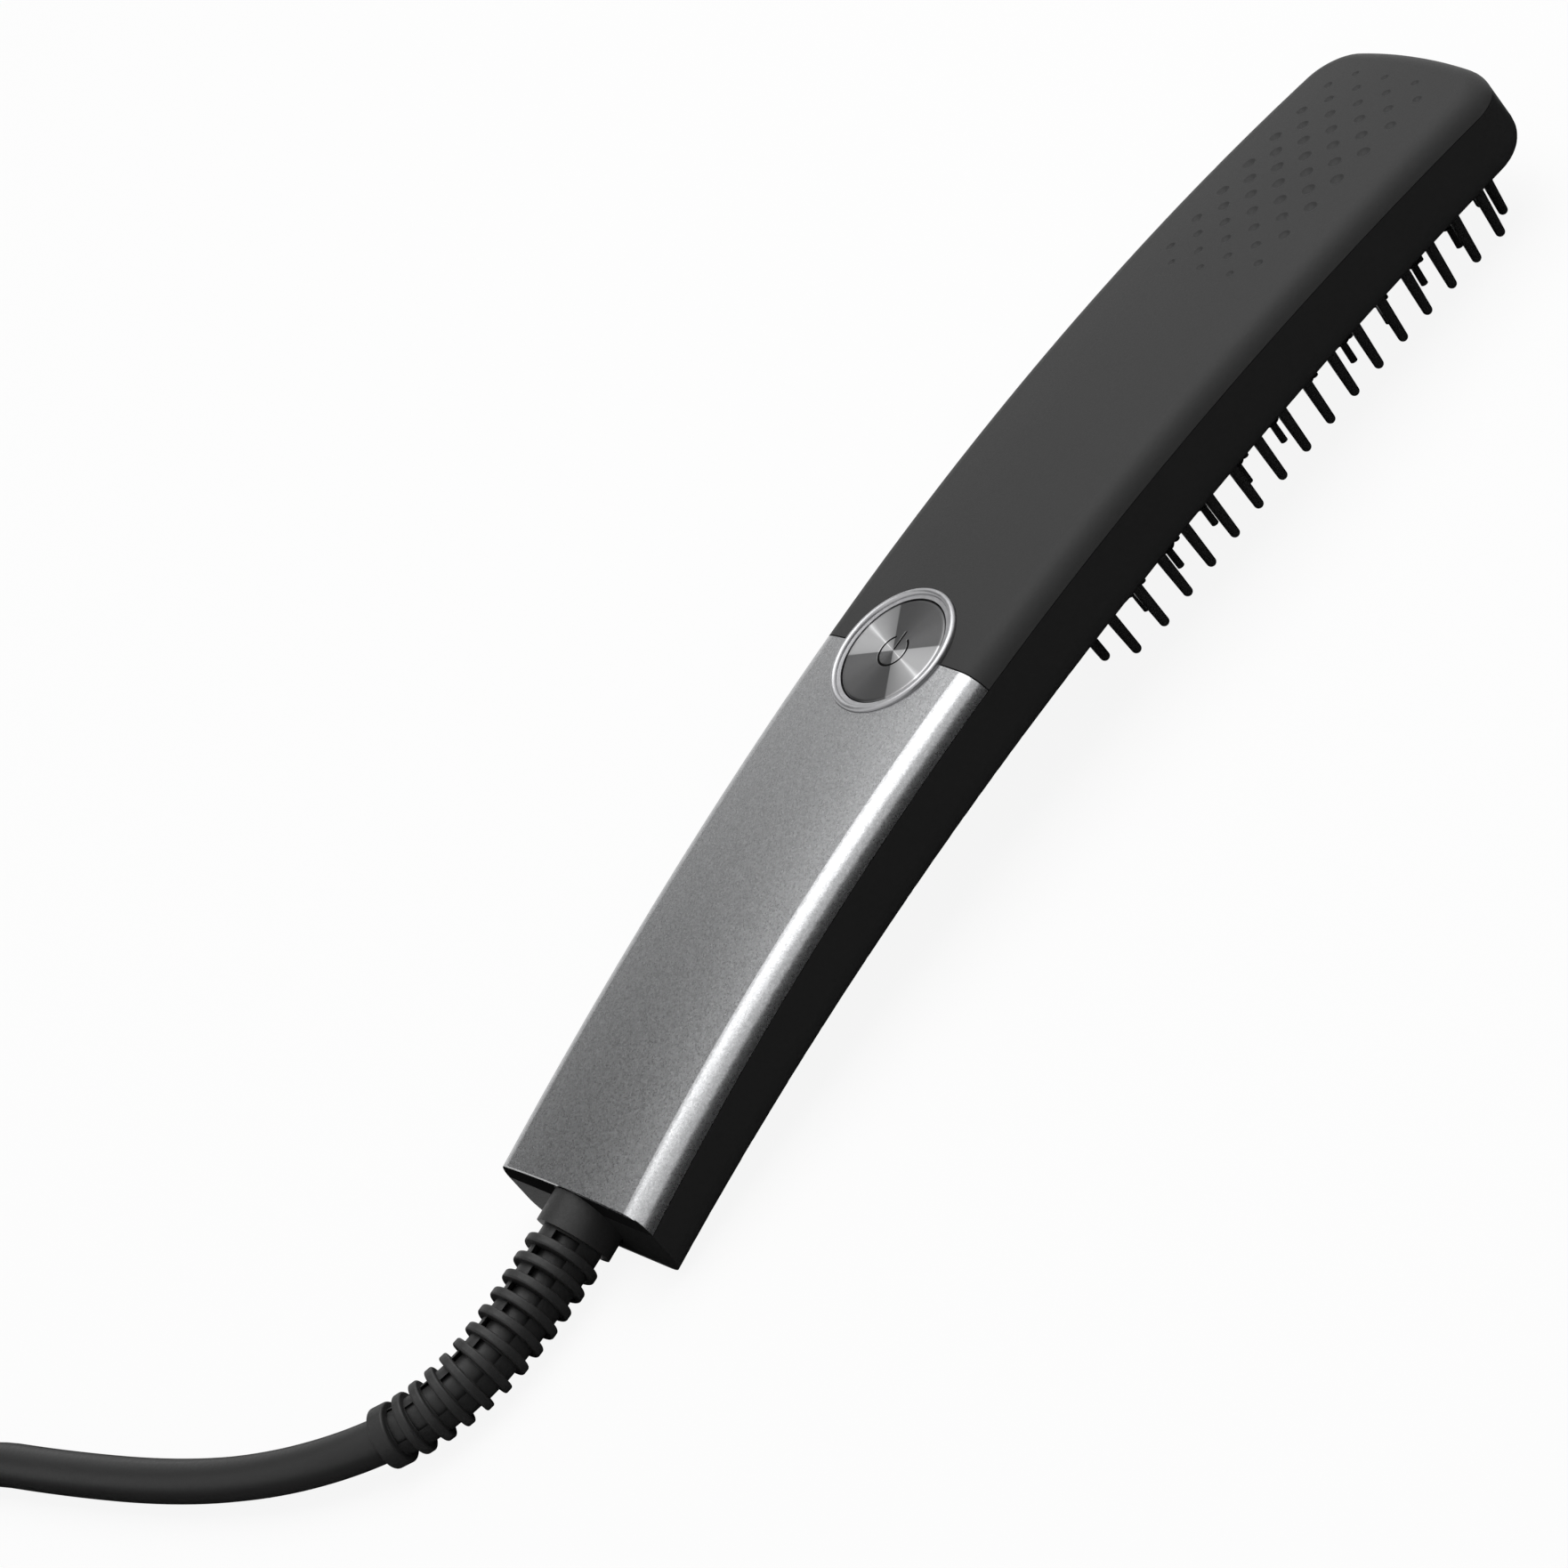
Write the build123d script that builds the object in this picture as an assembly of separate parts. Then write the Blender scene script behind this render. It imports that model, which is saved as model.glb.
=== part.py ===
from build123d import *

# Steam hair straightener brush, lying on its bristle tips and on the end of its handle.
#
# +X runs along the brush to the tip of the head, +Z is up and the bristles point down. The origin lies
# on the resting surface, below the middle of the brush. Sizes are in millimetres.
#
# The body is one curved bar. Its top follows a large circle and its underside follows a slightly larger
# one, and both circles have their highest point at the same x. Places along the bar are given as arc
# lengths from that crest: crest(...) places a piece by its depth under the top, belly(...) by its height
# over the underside.


import os
from math import asin, atan2, cos, degrees, hypot, pi, radians, sin, tan

# ---- the bar ----
LENGTH = 237.0
CREST_X = 28.0  # x of the crest, ahead of the middle of the brush
CREST_Z = 32.6  # height of the crest over the resting surface
TOP_RADIUS = 620.0  # of the top along the brush
CROWN_RADIUS = 170.0  # of the top across the brush
THICKNESS = 18.0  # at the crest
WALL = 2.0
END_WALL = 3.4  # at the end of the handle
SEAM_DEPTH = 4.8  # from the top down to the seam between the shells
SEAM_GAP = 0.12
JOINT_GAP = 0.12  # across the top, under the button
TOP_ROUNDING = 4.4
BELLY_ROUNDING = 4.6
HALF_WIDTH_TAIL = 20.4
HALF_WIDTH_WAIST = 20.1
HALF_WIDTH_HEAD = 21.8
WAIST_X = -78.0
TIP_ARCH = 1.6  # how far the end of the head bows forward
TIP_CORNER = 9.5
TIP_NARROWING = 0.4

# ---- lip that keeps the shells in line ----
LIP = 0.9
LIP_HEIGHT = 1.3
LIP_GAP = 0.12

# ---- dimples in the top of the head ----
DIMPLE_ROWS = 15
DIMPLE_ROW_PITCH = 3.38
DIMPLE_PITCH = 7.6  # across, in a row; the next row lies half a pitch over
DIMPLE_LAST_ARC = 83.0  # arc length from the crest to the row nearest the tip
DIMPLE_SMALL = 1.2
DIMPLE_LARGE = 2.5
DIMPLE_DEPTH = 0.42

# ---- power button ----
BUTTON_ARC = -47.3
BEZEL_D = 24.4
BEZEL_PROUD = 0.5
BEZEL_WIDTH = 1.9
BEZEL_FLANGE = 1.3
BUTTON_PROUD = -0.15
BUTTON_GAP = 0.1
BUTTON_SKIN = 1.6
BUTTON_FLANGE = 0.8
BUTTON_CHAMFER = 0.3
BUTTON_TRAVEL = 0.5
BEZEL_DEPTH = 3.6
BEZEL_BEAD = 0.6  # radius of its rounded rim
BEZEL_LIP = -0.15
STEM_LENGTH = 5.2  # from the top of the bar down to the switch
STEM_R = 1.9
FIT = 0.05

# ---- circuit board ----
BOARD_LENGTH = 66.0
BOARD_WIDTH = 32.0
BOARD_THICK = 1.6
BOARD_DEPTH = 9.6  # of its upper face under the top, on the button's axis
BOARD_AHEAD = 7.0  # how far it reaches ahead of the button's axis
TERMINAL_INSET = 6.0
BOARD_SCREW_D = 2.2
BOARD_SCREW_INSET = 3.6
BOARD_SCREW_LENGTH = 5.6
POST_D = 5.0
SHELL_SCREW_ARC = -132.5
SHELL_SCREW_Y = 14.2
SHELL_SCREW_D = 2.6
SHELL_SCREW_HEAD_D = 5.0
SHELL_POST_D = 5.6
SHELL_SCREW_LENGTH = 11.0
SCREW_SEAT = 3.4
SWITCH_SIDE = 6.0
SWITCH_HEIGHT = 3.4
PLUNGER_R = 1.6

# ---- edge comb ----
COMB_ARC_NECK = -25.5
COMB_ARC_TIP = 83.2
COMB_HALF_WIDTH = 18.6
COMB_THICK = 3.4
COMB_CORNER = 9.0
COMB_RIM = 3.7
COMB_LEDGE = 1.3
COMB_FLANGE = 0.9
COMB_STEP = 1.0  # width of the ledge that the heated plate rests on
BRISTLE_D = 2.0
BRISTLE_TIP_D = 1.7
BRISTLE_PITCH = 6.4
BRISTLE_INSET = 1.7  # from the edge of the comb to the axis of a bristle
BRISTLE_SEAT = 0.01

# ---- heated plate ----
PLATE_FACE = 0.7  # height of its face over the underside of the head
PLATE_THICK = 2.1
PLATE_GAP = 0.15
DOME_D = 6.6
DOME_TOP_D = 2.8
DOME_HEIGHT = 5.6
DOME_ROOT = 0.6  # of a dome, inside the plate
DOME_BULGE = 0.5
DOME_PITCH = 9.4
DOME_ROW_PITCH = 5.6
DOME_ROWS = 5
DOMES_IN_ROW = 10
TIP_PIN_D = 1.3
TIP_PIN_SHORT = 0.9  # how much the thin tips end above the ends of the bristles
VENT_D = 1.5
VENTS = 4
VENT_PITCH = 6.2

# ---- heaters behind the plate ----
HEATERS = 3
HEATER_LENGTH = 26.0
HEATER_WIDTH = 17.0
HEATER_THICK = 2.6
HEATER_PITCH = 30.0
PAD_THICK = 0.8
CLAMP_THICK = 0.8
CLAMP_HALF_WIDTH = 14.0
CLAMP_BOSS_D = 4.6
CLAMP_BOSS_Y = 11.6
CLAMP_SCREW_D = 2.0
STACK_GAP = 0.05
CLAMP_SCREW_LENGTH = 4.0
COMB_SCREW_D = 2.0
COMB_SCREW_LENGTH = 9.0
COMB_SCREW_HEAD_D = 3.4
COMB_SCREW_SPAN = 66.0
SCREW_POST_D = 3.8
SCREW_HEAD = 1.2
THERMISTOR_SIDE = 2.6
FUSE_D = 3.6
FUSE_LENGTH = 10.0
RIB_THICK = 1.5
RIB_WIDTH = 18.0

# ---- water tank in the neck ----
TANK_ARC = -33.4
TANK_LENGTH = 11.0
TANK_WIDTH = 31.0
TANK_WALL = 1.1
TANK_HEIGHT = 8.2
PORT_D = 5.0
STOPPER_WIDTH = 22.0
STOPPER_LENGTH = 6.4
STOPPER_HEAD = 0.9
DISH_WIDTH = 38.0  # of the dished finger recess round the stopper
DISH_LENGTH = 9.4
DISH_DEPTH = 1.2
STOPPER_PULL = 6.0
NOZZLE_ARC = -19.3
NOZZLE_WIDTH = 23.0
NOZZLE_LENGTH = 4.2
NOZZLE_HEIGHT = 3.0
TUBE_D = 3.0
TUBE_WALL = 0.6
TUBE_HEIGHT = 8.2
LEAD_Y = 4.5
LEAD_DEPTH = 5.7  # of the wires under the top, where they cross the tank
WIRE_D = 1.6

# ---- swivel and cord exit ----
SWIVEL_TILT = 10.0  # how far the cord's exit points below level, in degrees
SWIVEL_Z = 7.7
RECESS_D = 13.9
RECESS_DEPTH = 1.4
SHAFT_D = 9.0
BUSH_D = 10.4
BUSH_LENGTH = 8.0
RETAINER_D = 10.2
RETAINER_THICK = 1.6
HUB_D = 7.4
SLIP_RING_D = 9.0
SLIP_RING_WIDTH = 1.6
SLIP_RING_PITCH = 3.6
SLIP_RINGS = 2
CONTACT_Y = 6.0
CONTACT_WIDTH = 5.4

# ---- cord ----
CORD_D = 7.4
CORD_LENGTH = 1700.0
CORD_ENTRY = 6.0  # how far it reaches into the swivel
CORD_FLOOR = CORD_D / 2 + 0.1

# ---- coil and plug ----
COIL_WIDE = 3
COIL_HIGH = 2
COIL_EXIT = 180.0  # direction from the coil's middle to where the plug leaves it, in degrees
TIE_ANGLE = -70.0
TIE_WIDTH = 9.0
TIE_THICK = 1.4
PLUG_LENGTH = 36.0
PLUG_WIDTH = 35.3
PLUG_THICK = 13.7
PLUG_NECK = 18.0
PLUG_RUN = 30.0  # of the cord, from the coil to the plug
PLUG_AXIS = 7.0
PIN_D = 4.0
PIN_LENGTH = 19.0
PIN_SPACING = 19.0

# ---- route of the cord, to where its coil begins ----
CORD_ROUTE = [
    (-136.0, -1.0, 6.1),
    (-149.0, -1.0, 5.8),
    (-160.5, 3.4, 5.6),
    (-170.2, 13.2, 5.4),
    (-179.2, 29.0, 4.5),
    (-186.5, 49.0, CORD_FLOOR),
    (-193.0, 74.0, CORD_FLOOR),
    (-198.0, 98.0, CORD_FLOOR),
    (-211.5, 116.0, CORD_FLOOR),
    (-235.0, 126.5, 5.0),
    (-264.0, 130.0, 9.5),
    (-294.0, 129.0, TIE_THICK + 0.1 + 1.5 * CORD_D),
]

# ---- strain relief ----
RELIEF_RINGS = 12
RELIEF_ROOT_D = 13.2
RELIEF_FIRST_D = 12.8
RELIEF_LAST_D = 10.4
RELIEF_RING = 1.6
RELIEF_PITCH = 3.5
RELIEF_COLLAR = 4.6
RELIEF_CUFF = 2.2
RELIEF_ROUNDING = 0.4
RELIEF_STEP = 1.2  # from the rim of a ring down to the sleeve
RELIEF_WINDOWS = [(4.4, -42.0), (6.0, -28.0)]  # width and turn about the cord, by turns along it
RELIEF_BORE_GAP = 0.15

TIP_X = LENGTH / 2
TAIL_X = -LENGTH / 2
TOP_CENTRE_Z = CREST_Z - TOP_RADIUS
BELLY_Z = CREST_Z - THICKNESS
# the underside's circle meets the resting surface at the end of the handle
TAIL_RUN = CREST_X - TAIL_X
BELLY_RADIUS = (TAIL_RUN**2 + BELLY_Z**2) / (2 * BELLY_Z)
BELLY_CENTRE_Z = BELLY_Z - BELLY_RADIUS
SEAM_RADIUS = TOP_RADIUS - SEAM_DEPTH
COMB_MID_ARC = (COMB_ARC_NECK + COMB_ARC_TIP) / 2
PLATE_BACK = PLATE_FACE + PLATE_THICK
HEATER_BACK = PLATE_BACK + STACK_GAP + HEATER_THICK
PAD_BACK = HEATER_BACK + STACK_GAP + PAD_THICK
CLAMP_FACE = PAD_BACK + STACK_GAP
CLAMP_BACK = CLAMP_FACE + CLAMP_THICK
# the bristles nearest the tip of the head stand on the resting surface
BRISTLE_END_ARC = COMB_ARC_TIP - BRISTLE_INSET
BRISTLE_TIP_R = BRISTLE_TIP_D / 2
BRISTLE_SHANK = BELLY_RADIUS + (BELLY_CENTRE_Z - BRISTLE_TIP_R) / cos(BRISTLE_END_ARC / BELLY_RADIUS)
BRISTLE_LENGTH = BRISTLE_SHANK + BRISTLE_TIP_R
BUTTON_R = BEZEL_D / 2 - BEZEL_WIDTH - BUTTON_GAP
BEZEL_BACK = -BEZEL_DEPTH
STEM_END = -STEM_LENGTH
DEEP = 200.0


def crest(arc, y=0.0, depth=0.0):
    """Place on the top of the bar, with its Z square to the surface and its X along the bar."""
    turn = Rot(0, degrees(arc / TOP_RADIUS), 0)
    return Pos(CREST_X, 0, TOP_CENTRE_Z) * turn * Pos(0, y, TOP_RADIUS - depth)


def belly(arc, y=0.0, height=0.0):
    """Place on the underside of the bar, with its Z pointing into the bar."""
    turn = Rot(0, degrees(arc / BELLY_RADIUS), 0)
    return Pos(CREST_X, 0, BELLY_CENTRE_Z) * turn * Pos(0, y, BELLY_RADIUS + height)


def across(radius, centre_z):
    """Solid drum whose axis runs across the brush."""
    return Pos(CREST_X, 0, centre_z) * Rot(90, 0, 0) * Cylinder(radius, DEEP)


def plan_outline(inset):
    """Outline of the bar from above, with every side moved in by inset."""
    tail_x = TAIL_X + inset
    corner_x = TIP_X - TIP_ARCH - inset
    tip_half = HALF_WIDTH_HEAD - TIP_NARROWING - inset
    side = Spline(
        (tail_x, HALF_WIDTH_TAIL - inset),
        (WAIST_X, HALF_WIDTH_WAIST - inset),
        (CREST_X, HALF_WIDTH_HEAD - inset),
        (corner_x, tip_half),
    )
    tip = ThreePointArc((corner_x, tip_half), (TIP_X - inset, 0), (corner_x, -tip_half))
    tail = Line((tail_x, inset - HALF_WIDTH_TAIL), (tail_x, HALF_WIDTH_TAIL - inset))
    outline = make_face(side + tip + mirror(side, about=Plane.XZ) + tail)
    return fillet(outline.vertices().sort_by(Axis.X)[-2:], TIP_CORNER - inset)


def bar(inset):
    """The whole bar with every face moved in by inset."""
    half = DEEP / 2
    crown_z = CREST_Z - inset
    edge_z = crown_z - half**2 / (8 * CROWN_RADIUS)
    crown = ThreePointArc(
        (CREST_X, -half / 2, edge_z), (CREST_X, 0, crown_z), (CREST_X, half / 2, edge_z)
    )
    sides = Polyline(crown @ 1, (CREST_X, half / 2, -half), (CREST_X, -half / 2, -half), crown @ 0)
    centre = Axis((CREST_X, 0, TOP_CENTRE_Z), (0, 1, 0))
    sweep = 2 * degrees(LENGTH / TOP_RADIUS)
    under_crown = revolve(make_face(crown + sides).rotate(centre, -sweep / 2), centre, sweep)
    body = under_crown & (Pos(0, 0, -half) * extrude(plan_outline(inset), 2 * half))
    body -= across(BELLY_RADIUS + inset, BELLY_CENTRE_Z)
    body = body.solids().sort_by(SortBy.VOLUME)[-1]
    clear_of_tail = TAIL_X + 2 * inset + 1
    for facing, rounding in ((1, TOP_ROUNDING), (-1, BELLY_ROUNDING)):
        face = max(body.faces(), key=lambda f: facing * f.normal_at().Z)
        body = fillet([e for e in face.edges() if e.center().X > clear_of_tail], rounding - inset)
    return body


def drum(place, radius, low, high):
    """Cylinder along the Z of a place, from low to high."""
    return place * Pos(0, 0, (low + high) / 2) * Cylinder(radius, high - low)


def block(place, length, width, low, high):
    """Block round the Z of a place, from low to high."""
    return place * Pos(0, 0, (low + high) / 2) * Box(length, width, high - low)


def belly_x(arc):
    return CREST_X + BELLY_RADIUS * sin(arc / BELLY_RADIUS)


def belly_layer(outline, low, high):
    """Layer that follows the underside, with that outline from above, from low to high over it."""
    column = extrude(outline, DEEP, both=True)
    between = across(BELLY_RADIUS + high, BELLY_CENTRE_Z) - across(BELLY_RADIUS + low, BELLY_CENTRE_Z)
    return column & between


def rounded(neck, tip, half_width, corner):
    """Rounded rectangle from above, between two arc lengths."""
    left = belly_x(neck)
    right = belly_x(tip)
    return Pos((left + right) / 2, 0) * RectangleRounded(right - left, 2 * half_width, corner)


def comb_outline(inset):
    """Outline of the edge comb, or one that runs inside it."""
    return rounded(
        COMB_ARC_NECK + inset, COMB_ARC_TIP - inset, COMB_HALF_WIDTH - inset, COMB_CORNER - inset
    )


def button_place(depth=0.0):
    return crest(BUTTON_ARC, 0, depth)


def swivel_place(out=0.0):
    """Place on the axis of the swivel, with its Z pointing out of the handle."""
    tilt = radians(SWIVEL_TILT)
    axis = Plane(origin=(TAIL_X, 0, SWIVEL_Z), x_dir=(0, 1, 0), z_dir=(-cos(tilt), 0, -sin(tilt)))
    return axis.location * Pos(0, 0, out)


# ---- shells ----
BUSH_OUTER = -END_WALL - BUSH_D / 2 * tan(radians(SWIVEL_TILT)) - 0.3
BUSH_INNER = BUSH_OUTER - BUSH_LENGTH
RETAINER_INNER = BUSH_INNER - FIT - RETAINER_THICK
SHAFT_FACE = 0.3 - RECESS_DEPTH
HUB_END = RETAINER_INNER - 1.6 - SLIP_RINGS * SLIP_RING_PITCH


def cavity():
    """The hollow of the body, which ends short of the end wall of the handle."""
    return bar(WALL) - Pos(TAIL_X, 0, 0) * Box(2 * END_WALL, DEEP, DEEP)


def cord_exit():
    """What the end of the handle leaves open for the swivel: a dished recess and a hole."""
    dish = drum(swivel_place(), RECESS_D / 2, -RECESS_DEPTH, END_WALL)
    return [dish, drum(swivel_place(), SHAFT_D / 2 + 2 * FIT, -2 * END_WALL, 0)]


def saddles():
    """Two ribs that hold the bush of the swivel."""
    ribs = []
    for share in (0.2, 0.8):
        out = BUSH_OUTER - share * BUSH_LENGTH
        rib = block(swivel_place(), 1.7 * BUSH_D, DEEP, out - RIB_THICK / 2, out + RIB_THICK / 2)
        ribs.append(rib - drum(swivel_place(), BUSH_D / 2 + FIT, BUSH_INNER, BUSH_OUTER))
    return ribs


def dimple(row, step):
    """One shallow dimple: the lens that a ball cuts out of the top."""
    swell = sin(pi * (row + 1) / (DIMPLE_ROWS + 1))
    width = DIMPLE_SMALL + (DIMPLE_LARGE - DIMPLE_SMALL) * swell
    deep = DIMPLE_DEPTH * width / DIMPLE_LARGE
    ball = (width**2 / 4 + deep**2) / (2 * deep)
    y = step * DIMPLE_PITCH / 2
    arc = DIMPLE_LAST_ARC - row * DIMPLE_ROW_PITCH
    surface = y**2 / (2 * CROWN_RADIUS)
    return crest(arc, y, surface) * Pos(0, 0, ball - deep) * Rot(0, -90, 0) * Sphere(ball)


def dimples():
    """Staggered rows of three and four dimples."""
    balls = []
    for row in range(DIMPLE_ROWS):
        steps = (-2, 0, 2) if row % 2 == 0 else (-3, -1, 1, 3)
        balls += [dimple(row, step) for step in steps]
    return balls


def screw_posts():
    """Posts under the top of the head that the screws of the comb go into."""
    posts = []
    for place in comb_screw_places():
        post = drum(place, SCREW_POST_D / 2, COMB_THICK + STACK_GAP, THICKNESS)
        posts.append(post - drum(place, COMB_SCREW_D / 2 + FIT, 0, COMB_SCREW_LENGTH + 0.5))
    return posts


def clamp_ribs():
    """Ribs under the top of the head that press on the clamp of the heaters."""
    ribs = []
    for arc in (COMB_MID_ARC - HEATER_PITCH / 3, COMB_MID_ARC + HEATER_PITCH * 2 / 3):
        ribs.append(block(belly(arc), RIB_THICK, RIB_WIDTH, CLAMP_BACK + STACK_GAP, THICKNESS))
    return ribs


def seam_band(outer, inner, low, high):
    """Band along the sides and the tip of the bar, between two insets and two heights at the seam."""
    band = bar(outer) - extrude(plan_outline(inner), DEEP, both=True)
    band &= across(SEAM_RADIUS + high, TOP_CENTRE_Z) - across(SEAM_RADIUS + low, TOP_CENTRE_Z)
    return band - Pos(TAIL_X, 0, 0) * Box(2 * (END_WALL + LIP_GAP), DEEP, DEEP)


def seam_lip():
    """Tongue inside the seam: it stands on the lower shell and reaches up behind the covers."""
    inner = WALL + LIP_GAP + LIP
    tongue = seam_band(WALL + LIP_GAP, inner, -LIP_HEIGHT, LIP_HEIGHT)
    return tongue + seam_band(WALL - LIP_GAP, inner, -LIP_HEIGHT, -SEAM_GAP)


def shell_posts():
    """Posts at the end of the handle for the screws that close the body."""
    posts = []
    for y in (-SHELL_SCREW_Y, SHELL_SCREW_Y):
        place = belly(SHELL_SCREW_ARC, y)
        post = drum(place, SHELL_POST_D / 2, 0, THICKNESS)
        posts.append(post - drum(place, SHELL_SCREW_D / 2 + FIT, 0, SHELL_SCREW_LENGTH + 0.5))
    return posts


def board_spots():
    """Places of the board's screws, on its upper face."""
    ahead = BOARD_AHEAD - BOARD_SCREW_INSET
    behind = BOARD_AHEAD - BOARD_LENGTH + BOARD_SCREW_INSET
    side = BOARD_WIDTH / 2 - BOARD_SCREW_INSET
    return [button_place(BOARD_DEPTH) * Pos(x, y, 0) for x in (ahead, behind) for y in (-side, side)]


def board_posts():
    """Posts on the floor of the handle that carry the board."""
    posts = []
    for spot in board_spots():
        post = drum(spot, POST_D / 2, -THICKNESS, -BOARD_THICK)
        posts.append(post - drum(spot, BOARD_SCREW_D / 2 + FIT, -BOARD_SCREW_LENGTH - 0.5, 0))
    return posts


def joint_side(side):
    """Everything ahead of (side 1) or behind (side -1) the joint across the top at the button."""
    reach = DEEP - JOINT_GAP
    return button_place() * Pos(side * (DEEP + JOINT_GAP) / 2, 0, 0) * Box(reach, DEEP, DEEP)


def over_seam(piece):
    return piece - across(SEAM_RADIUS, TOP_CENTRE_Z)


def under_seam(piece):
    return piece & across(SEAM_RADIUS - SEAM_GAP, TOP_CENTRE_Z)


def make_shells():
    """Top of the head, cover of the handle and the shell under both."""
    skin = bar(0) - cavity()
    behind_skin = bar(WALL / 2)
    end_ribs = [piece & behind_skin for piece in saddles() + shell_posts()]
    button_hole = drum(button_place(), BEZEL_D / 2 + FIT, -2 * SEAM_DEPTH, 2 * SEAM_DEPTH)

    top = over_seam(skin)
    top_shell = (top & joint_side(1)) - button_hole - dimples()
    lip_room = seam_band(WALL, WALL + LIP + 2 * LIP_GAP, -LIP_HEIGHT, LIP_HEIGHT + LIP_GAP)
    for piece in screw_posts() + clamp_ribs():
        top_shell += (piece & behind_skin) - lip_room
    handle_cover = (top & joint_side(-1)) - button_hole - cord_exit()
    for piece in end_ribs:
        handle_cover += over_seam(piece) - lip_room

    lower = under_seam(skin) - cord_exit()
    for piece in end_ribs:
        lower += under_seam(piece)
    for piece in board_posts():
        lower += piece & behind_skin
    lower += seam_lip()
    lower -= belly_layer(comb_outline(-FIT), -1, THICKNESS / 2)
    lower -= belly_layer(comb_outline(-COMB_FLANGE - LIP_GAP), WALL, THICKNESS / 2)
    dish = Pos(belly_x(TANK_ARC), 0) * Ellipse(DISH_LENGTH / 2, DISH_WIDTH / 2)
    lower -= belly_layer(dish, -1, DISH_DEPTH)
    lower -= drum(belly(TANK_ARC), PORT_D / 2 + FIT, -1, 2 * WALL)
    for y in (-SHELL_SCREW_Y, SHELL_SCREW_Y):
        lower -= drum(belly(SHELL_SCREW_ARC, y), SHELL_SCREW_HEAD_D / 2 + LIP_GAP, -1, SCREW_SEAT)
    return {"top_shell": top_shell, "handle_cover": handle_cover, "lower_shell": lower}


def make_shell_screws():
    screws = []
    for y in (-SHELL_SCREW_Y, SHELL_SCREW_Y):
        place = belly(SHELL_SCREW_ARC, y)
        screw = drum(place, SHELL_SCREW_D / 2, SCREW_SEAT, SHELL_SCREW_LENGTH)
        screws.append(screw + drum(place, SHELL_SCREW_HEAD_D / 2, SCREW_SEAT - SCREW_HEAD, SCREW_SEAT))
    return Compound(screws)


# ---- power button ----
def make_button_bezel():
    """Ring with a rounded rim, a slope down to the button and a flange inside the shells."""
    outer = BEZEL_D / 2
    inner = BUTTON_R + BUTTON_GAP
    rim_z = BEZEL_PROUD - BEZEL_BEAD
    rim = ThreePointArc(
        (outer, 0, rim_z), (outer - BEZEL_BEAD, 0, BEZEL_PROUD), (outer - 2 * BEZEL_BEAD, 0, rim_z)
    )
    rest = Polyline(
        rim @ 1,
        (inner, 0, BEZEL_LIP),
        (inner, 0, BEZEL_BACK),
        (outer + BEZEL_FLANGE, 0, BEZEL_BACK),
        (outer + BEZEL_FLANGE, 0, BEZEL_BACK + BUTTON_FLANGE),
        (outer, 0, BEZEL_BACK + BUTTON_FLANGE),
        rim @ 0,
    )
    return button_place() * revolve(make_face(rim + rest), Axis.Z)


def make_power_button():
    """Cap with a retaining flange and a stem over the switch."""
    place = button_place()
    flange_top = BEZEL_BACK - FIT
    cap = drum(place, BUTTON_R, flange_top - BUTTON_FLANGE, BUTTON_PROUD)
    cap = chamfer(cap.edges().sort_by(Axis.Z)[-1], BUTTON_CHAMFER)
    cap += drum(place, BUTTON_R + BUTTON_FLANGE, flange_top - BUTTON_FLANGE, flange_top)
    cap -= drum(place, BUTTON_R - BUTTON_SKIN, 2 * BEZEL_BACK, BUTTON_PROUD - BUTTON_SKIN)
    return cap + drum(place, STEM_R, STEM_END, BUTTON_PROUD - BUTTON_SKIN)


def make_tact_switch():
    place = button_place(BOARD_DEPTH)
    body = block(place, SWITCH_SIDE, SWITCH_SIDE, 0, SWITCH_HEIGHT)
    return body - drum(place, PLUNGER_R + FIT, SWITCH_HEIGHT / 4, 2 * SWITCH_HEIGHT)


def make_switch_plunger():
    low = SWITCH_HEIGHT / 4 + BUTTON_TRAVEL + FIT
    return drum(button_place(BOARD_DEPTH), PLUNGER_R, low, BOARD_DEPTH + STEM_END)


# ---- circuit board ----
def make_main_board():
    middle = button_place(BOARD_DEPTH) * Pos(BOARD_AHEAD - BOARD_LENGTH / 2, 0, 0)
    board = block(middle, BOARD_LENGTH, BOARD_WIDTH, -BOARD_THICK, 0)
    return board - [drum(spot, BOARD_SCREW_D / 2 + FIT, -2 * BOARD_THICK, 1) for spot in board_spots()]


def make_board_screws():
    screws = []
    for spot in board_spots():
        screw = drum(spot, BOARD_SCREW_D / 2, -BOARD_SCREW_LENGTH, 0)
        screws.append(screw + drum(spot, BOARD_SCREW_D * 0.85, 0, SCREW_HEAD))
    return Compound(screws)


def on_board(behind, aside, size):
    """Component of that size, standing on the board behind the button's axis."""
    length, width, height = size
    return block(button_place(BOARD_DEPTH) * Pos(-behind, aside, 0), length, width, 0, height)


def make_triac():
    """Power switch lying on the board, with its cooling tab."""
    return on_board(37.0, -6.5, (9.0, 10.0, 4.4)) + on_board(45.0, -6.5, (7.0, 10.0, 1.2))


def make_terminal_block():
    """Block at the rear end of the board, where the mains leads come in."""
    return on_board(BOARD_LENGTH - BOARD_AHEAD - TERMINAL_INSET, 2.0, (7.0, 13.0, 4.0))


# ---- edge comb and heated plate ----
def bristle_spots():
    """Places of the bristles round the comb, and the turns between them."""
    path = comb_outline(BRISTLE_INSET).wire()
    count = round(path.length / BRISTLE_PITCH)
    return [path @ (k / count) for k in range(count)], [path @ ((k + 0.5) / count) for k in range(count)]


def belly_at(point, height=0.0):
    arc = BELLY_RADIUS * asin((point.X - CREST_X) / BELLY_RADIUS)
    return belly(arc, point.Y, height)


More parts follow.
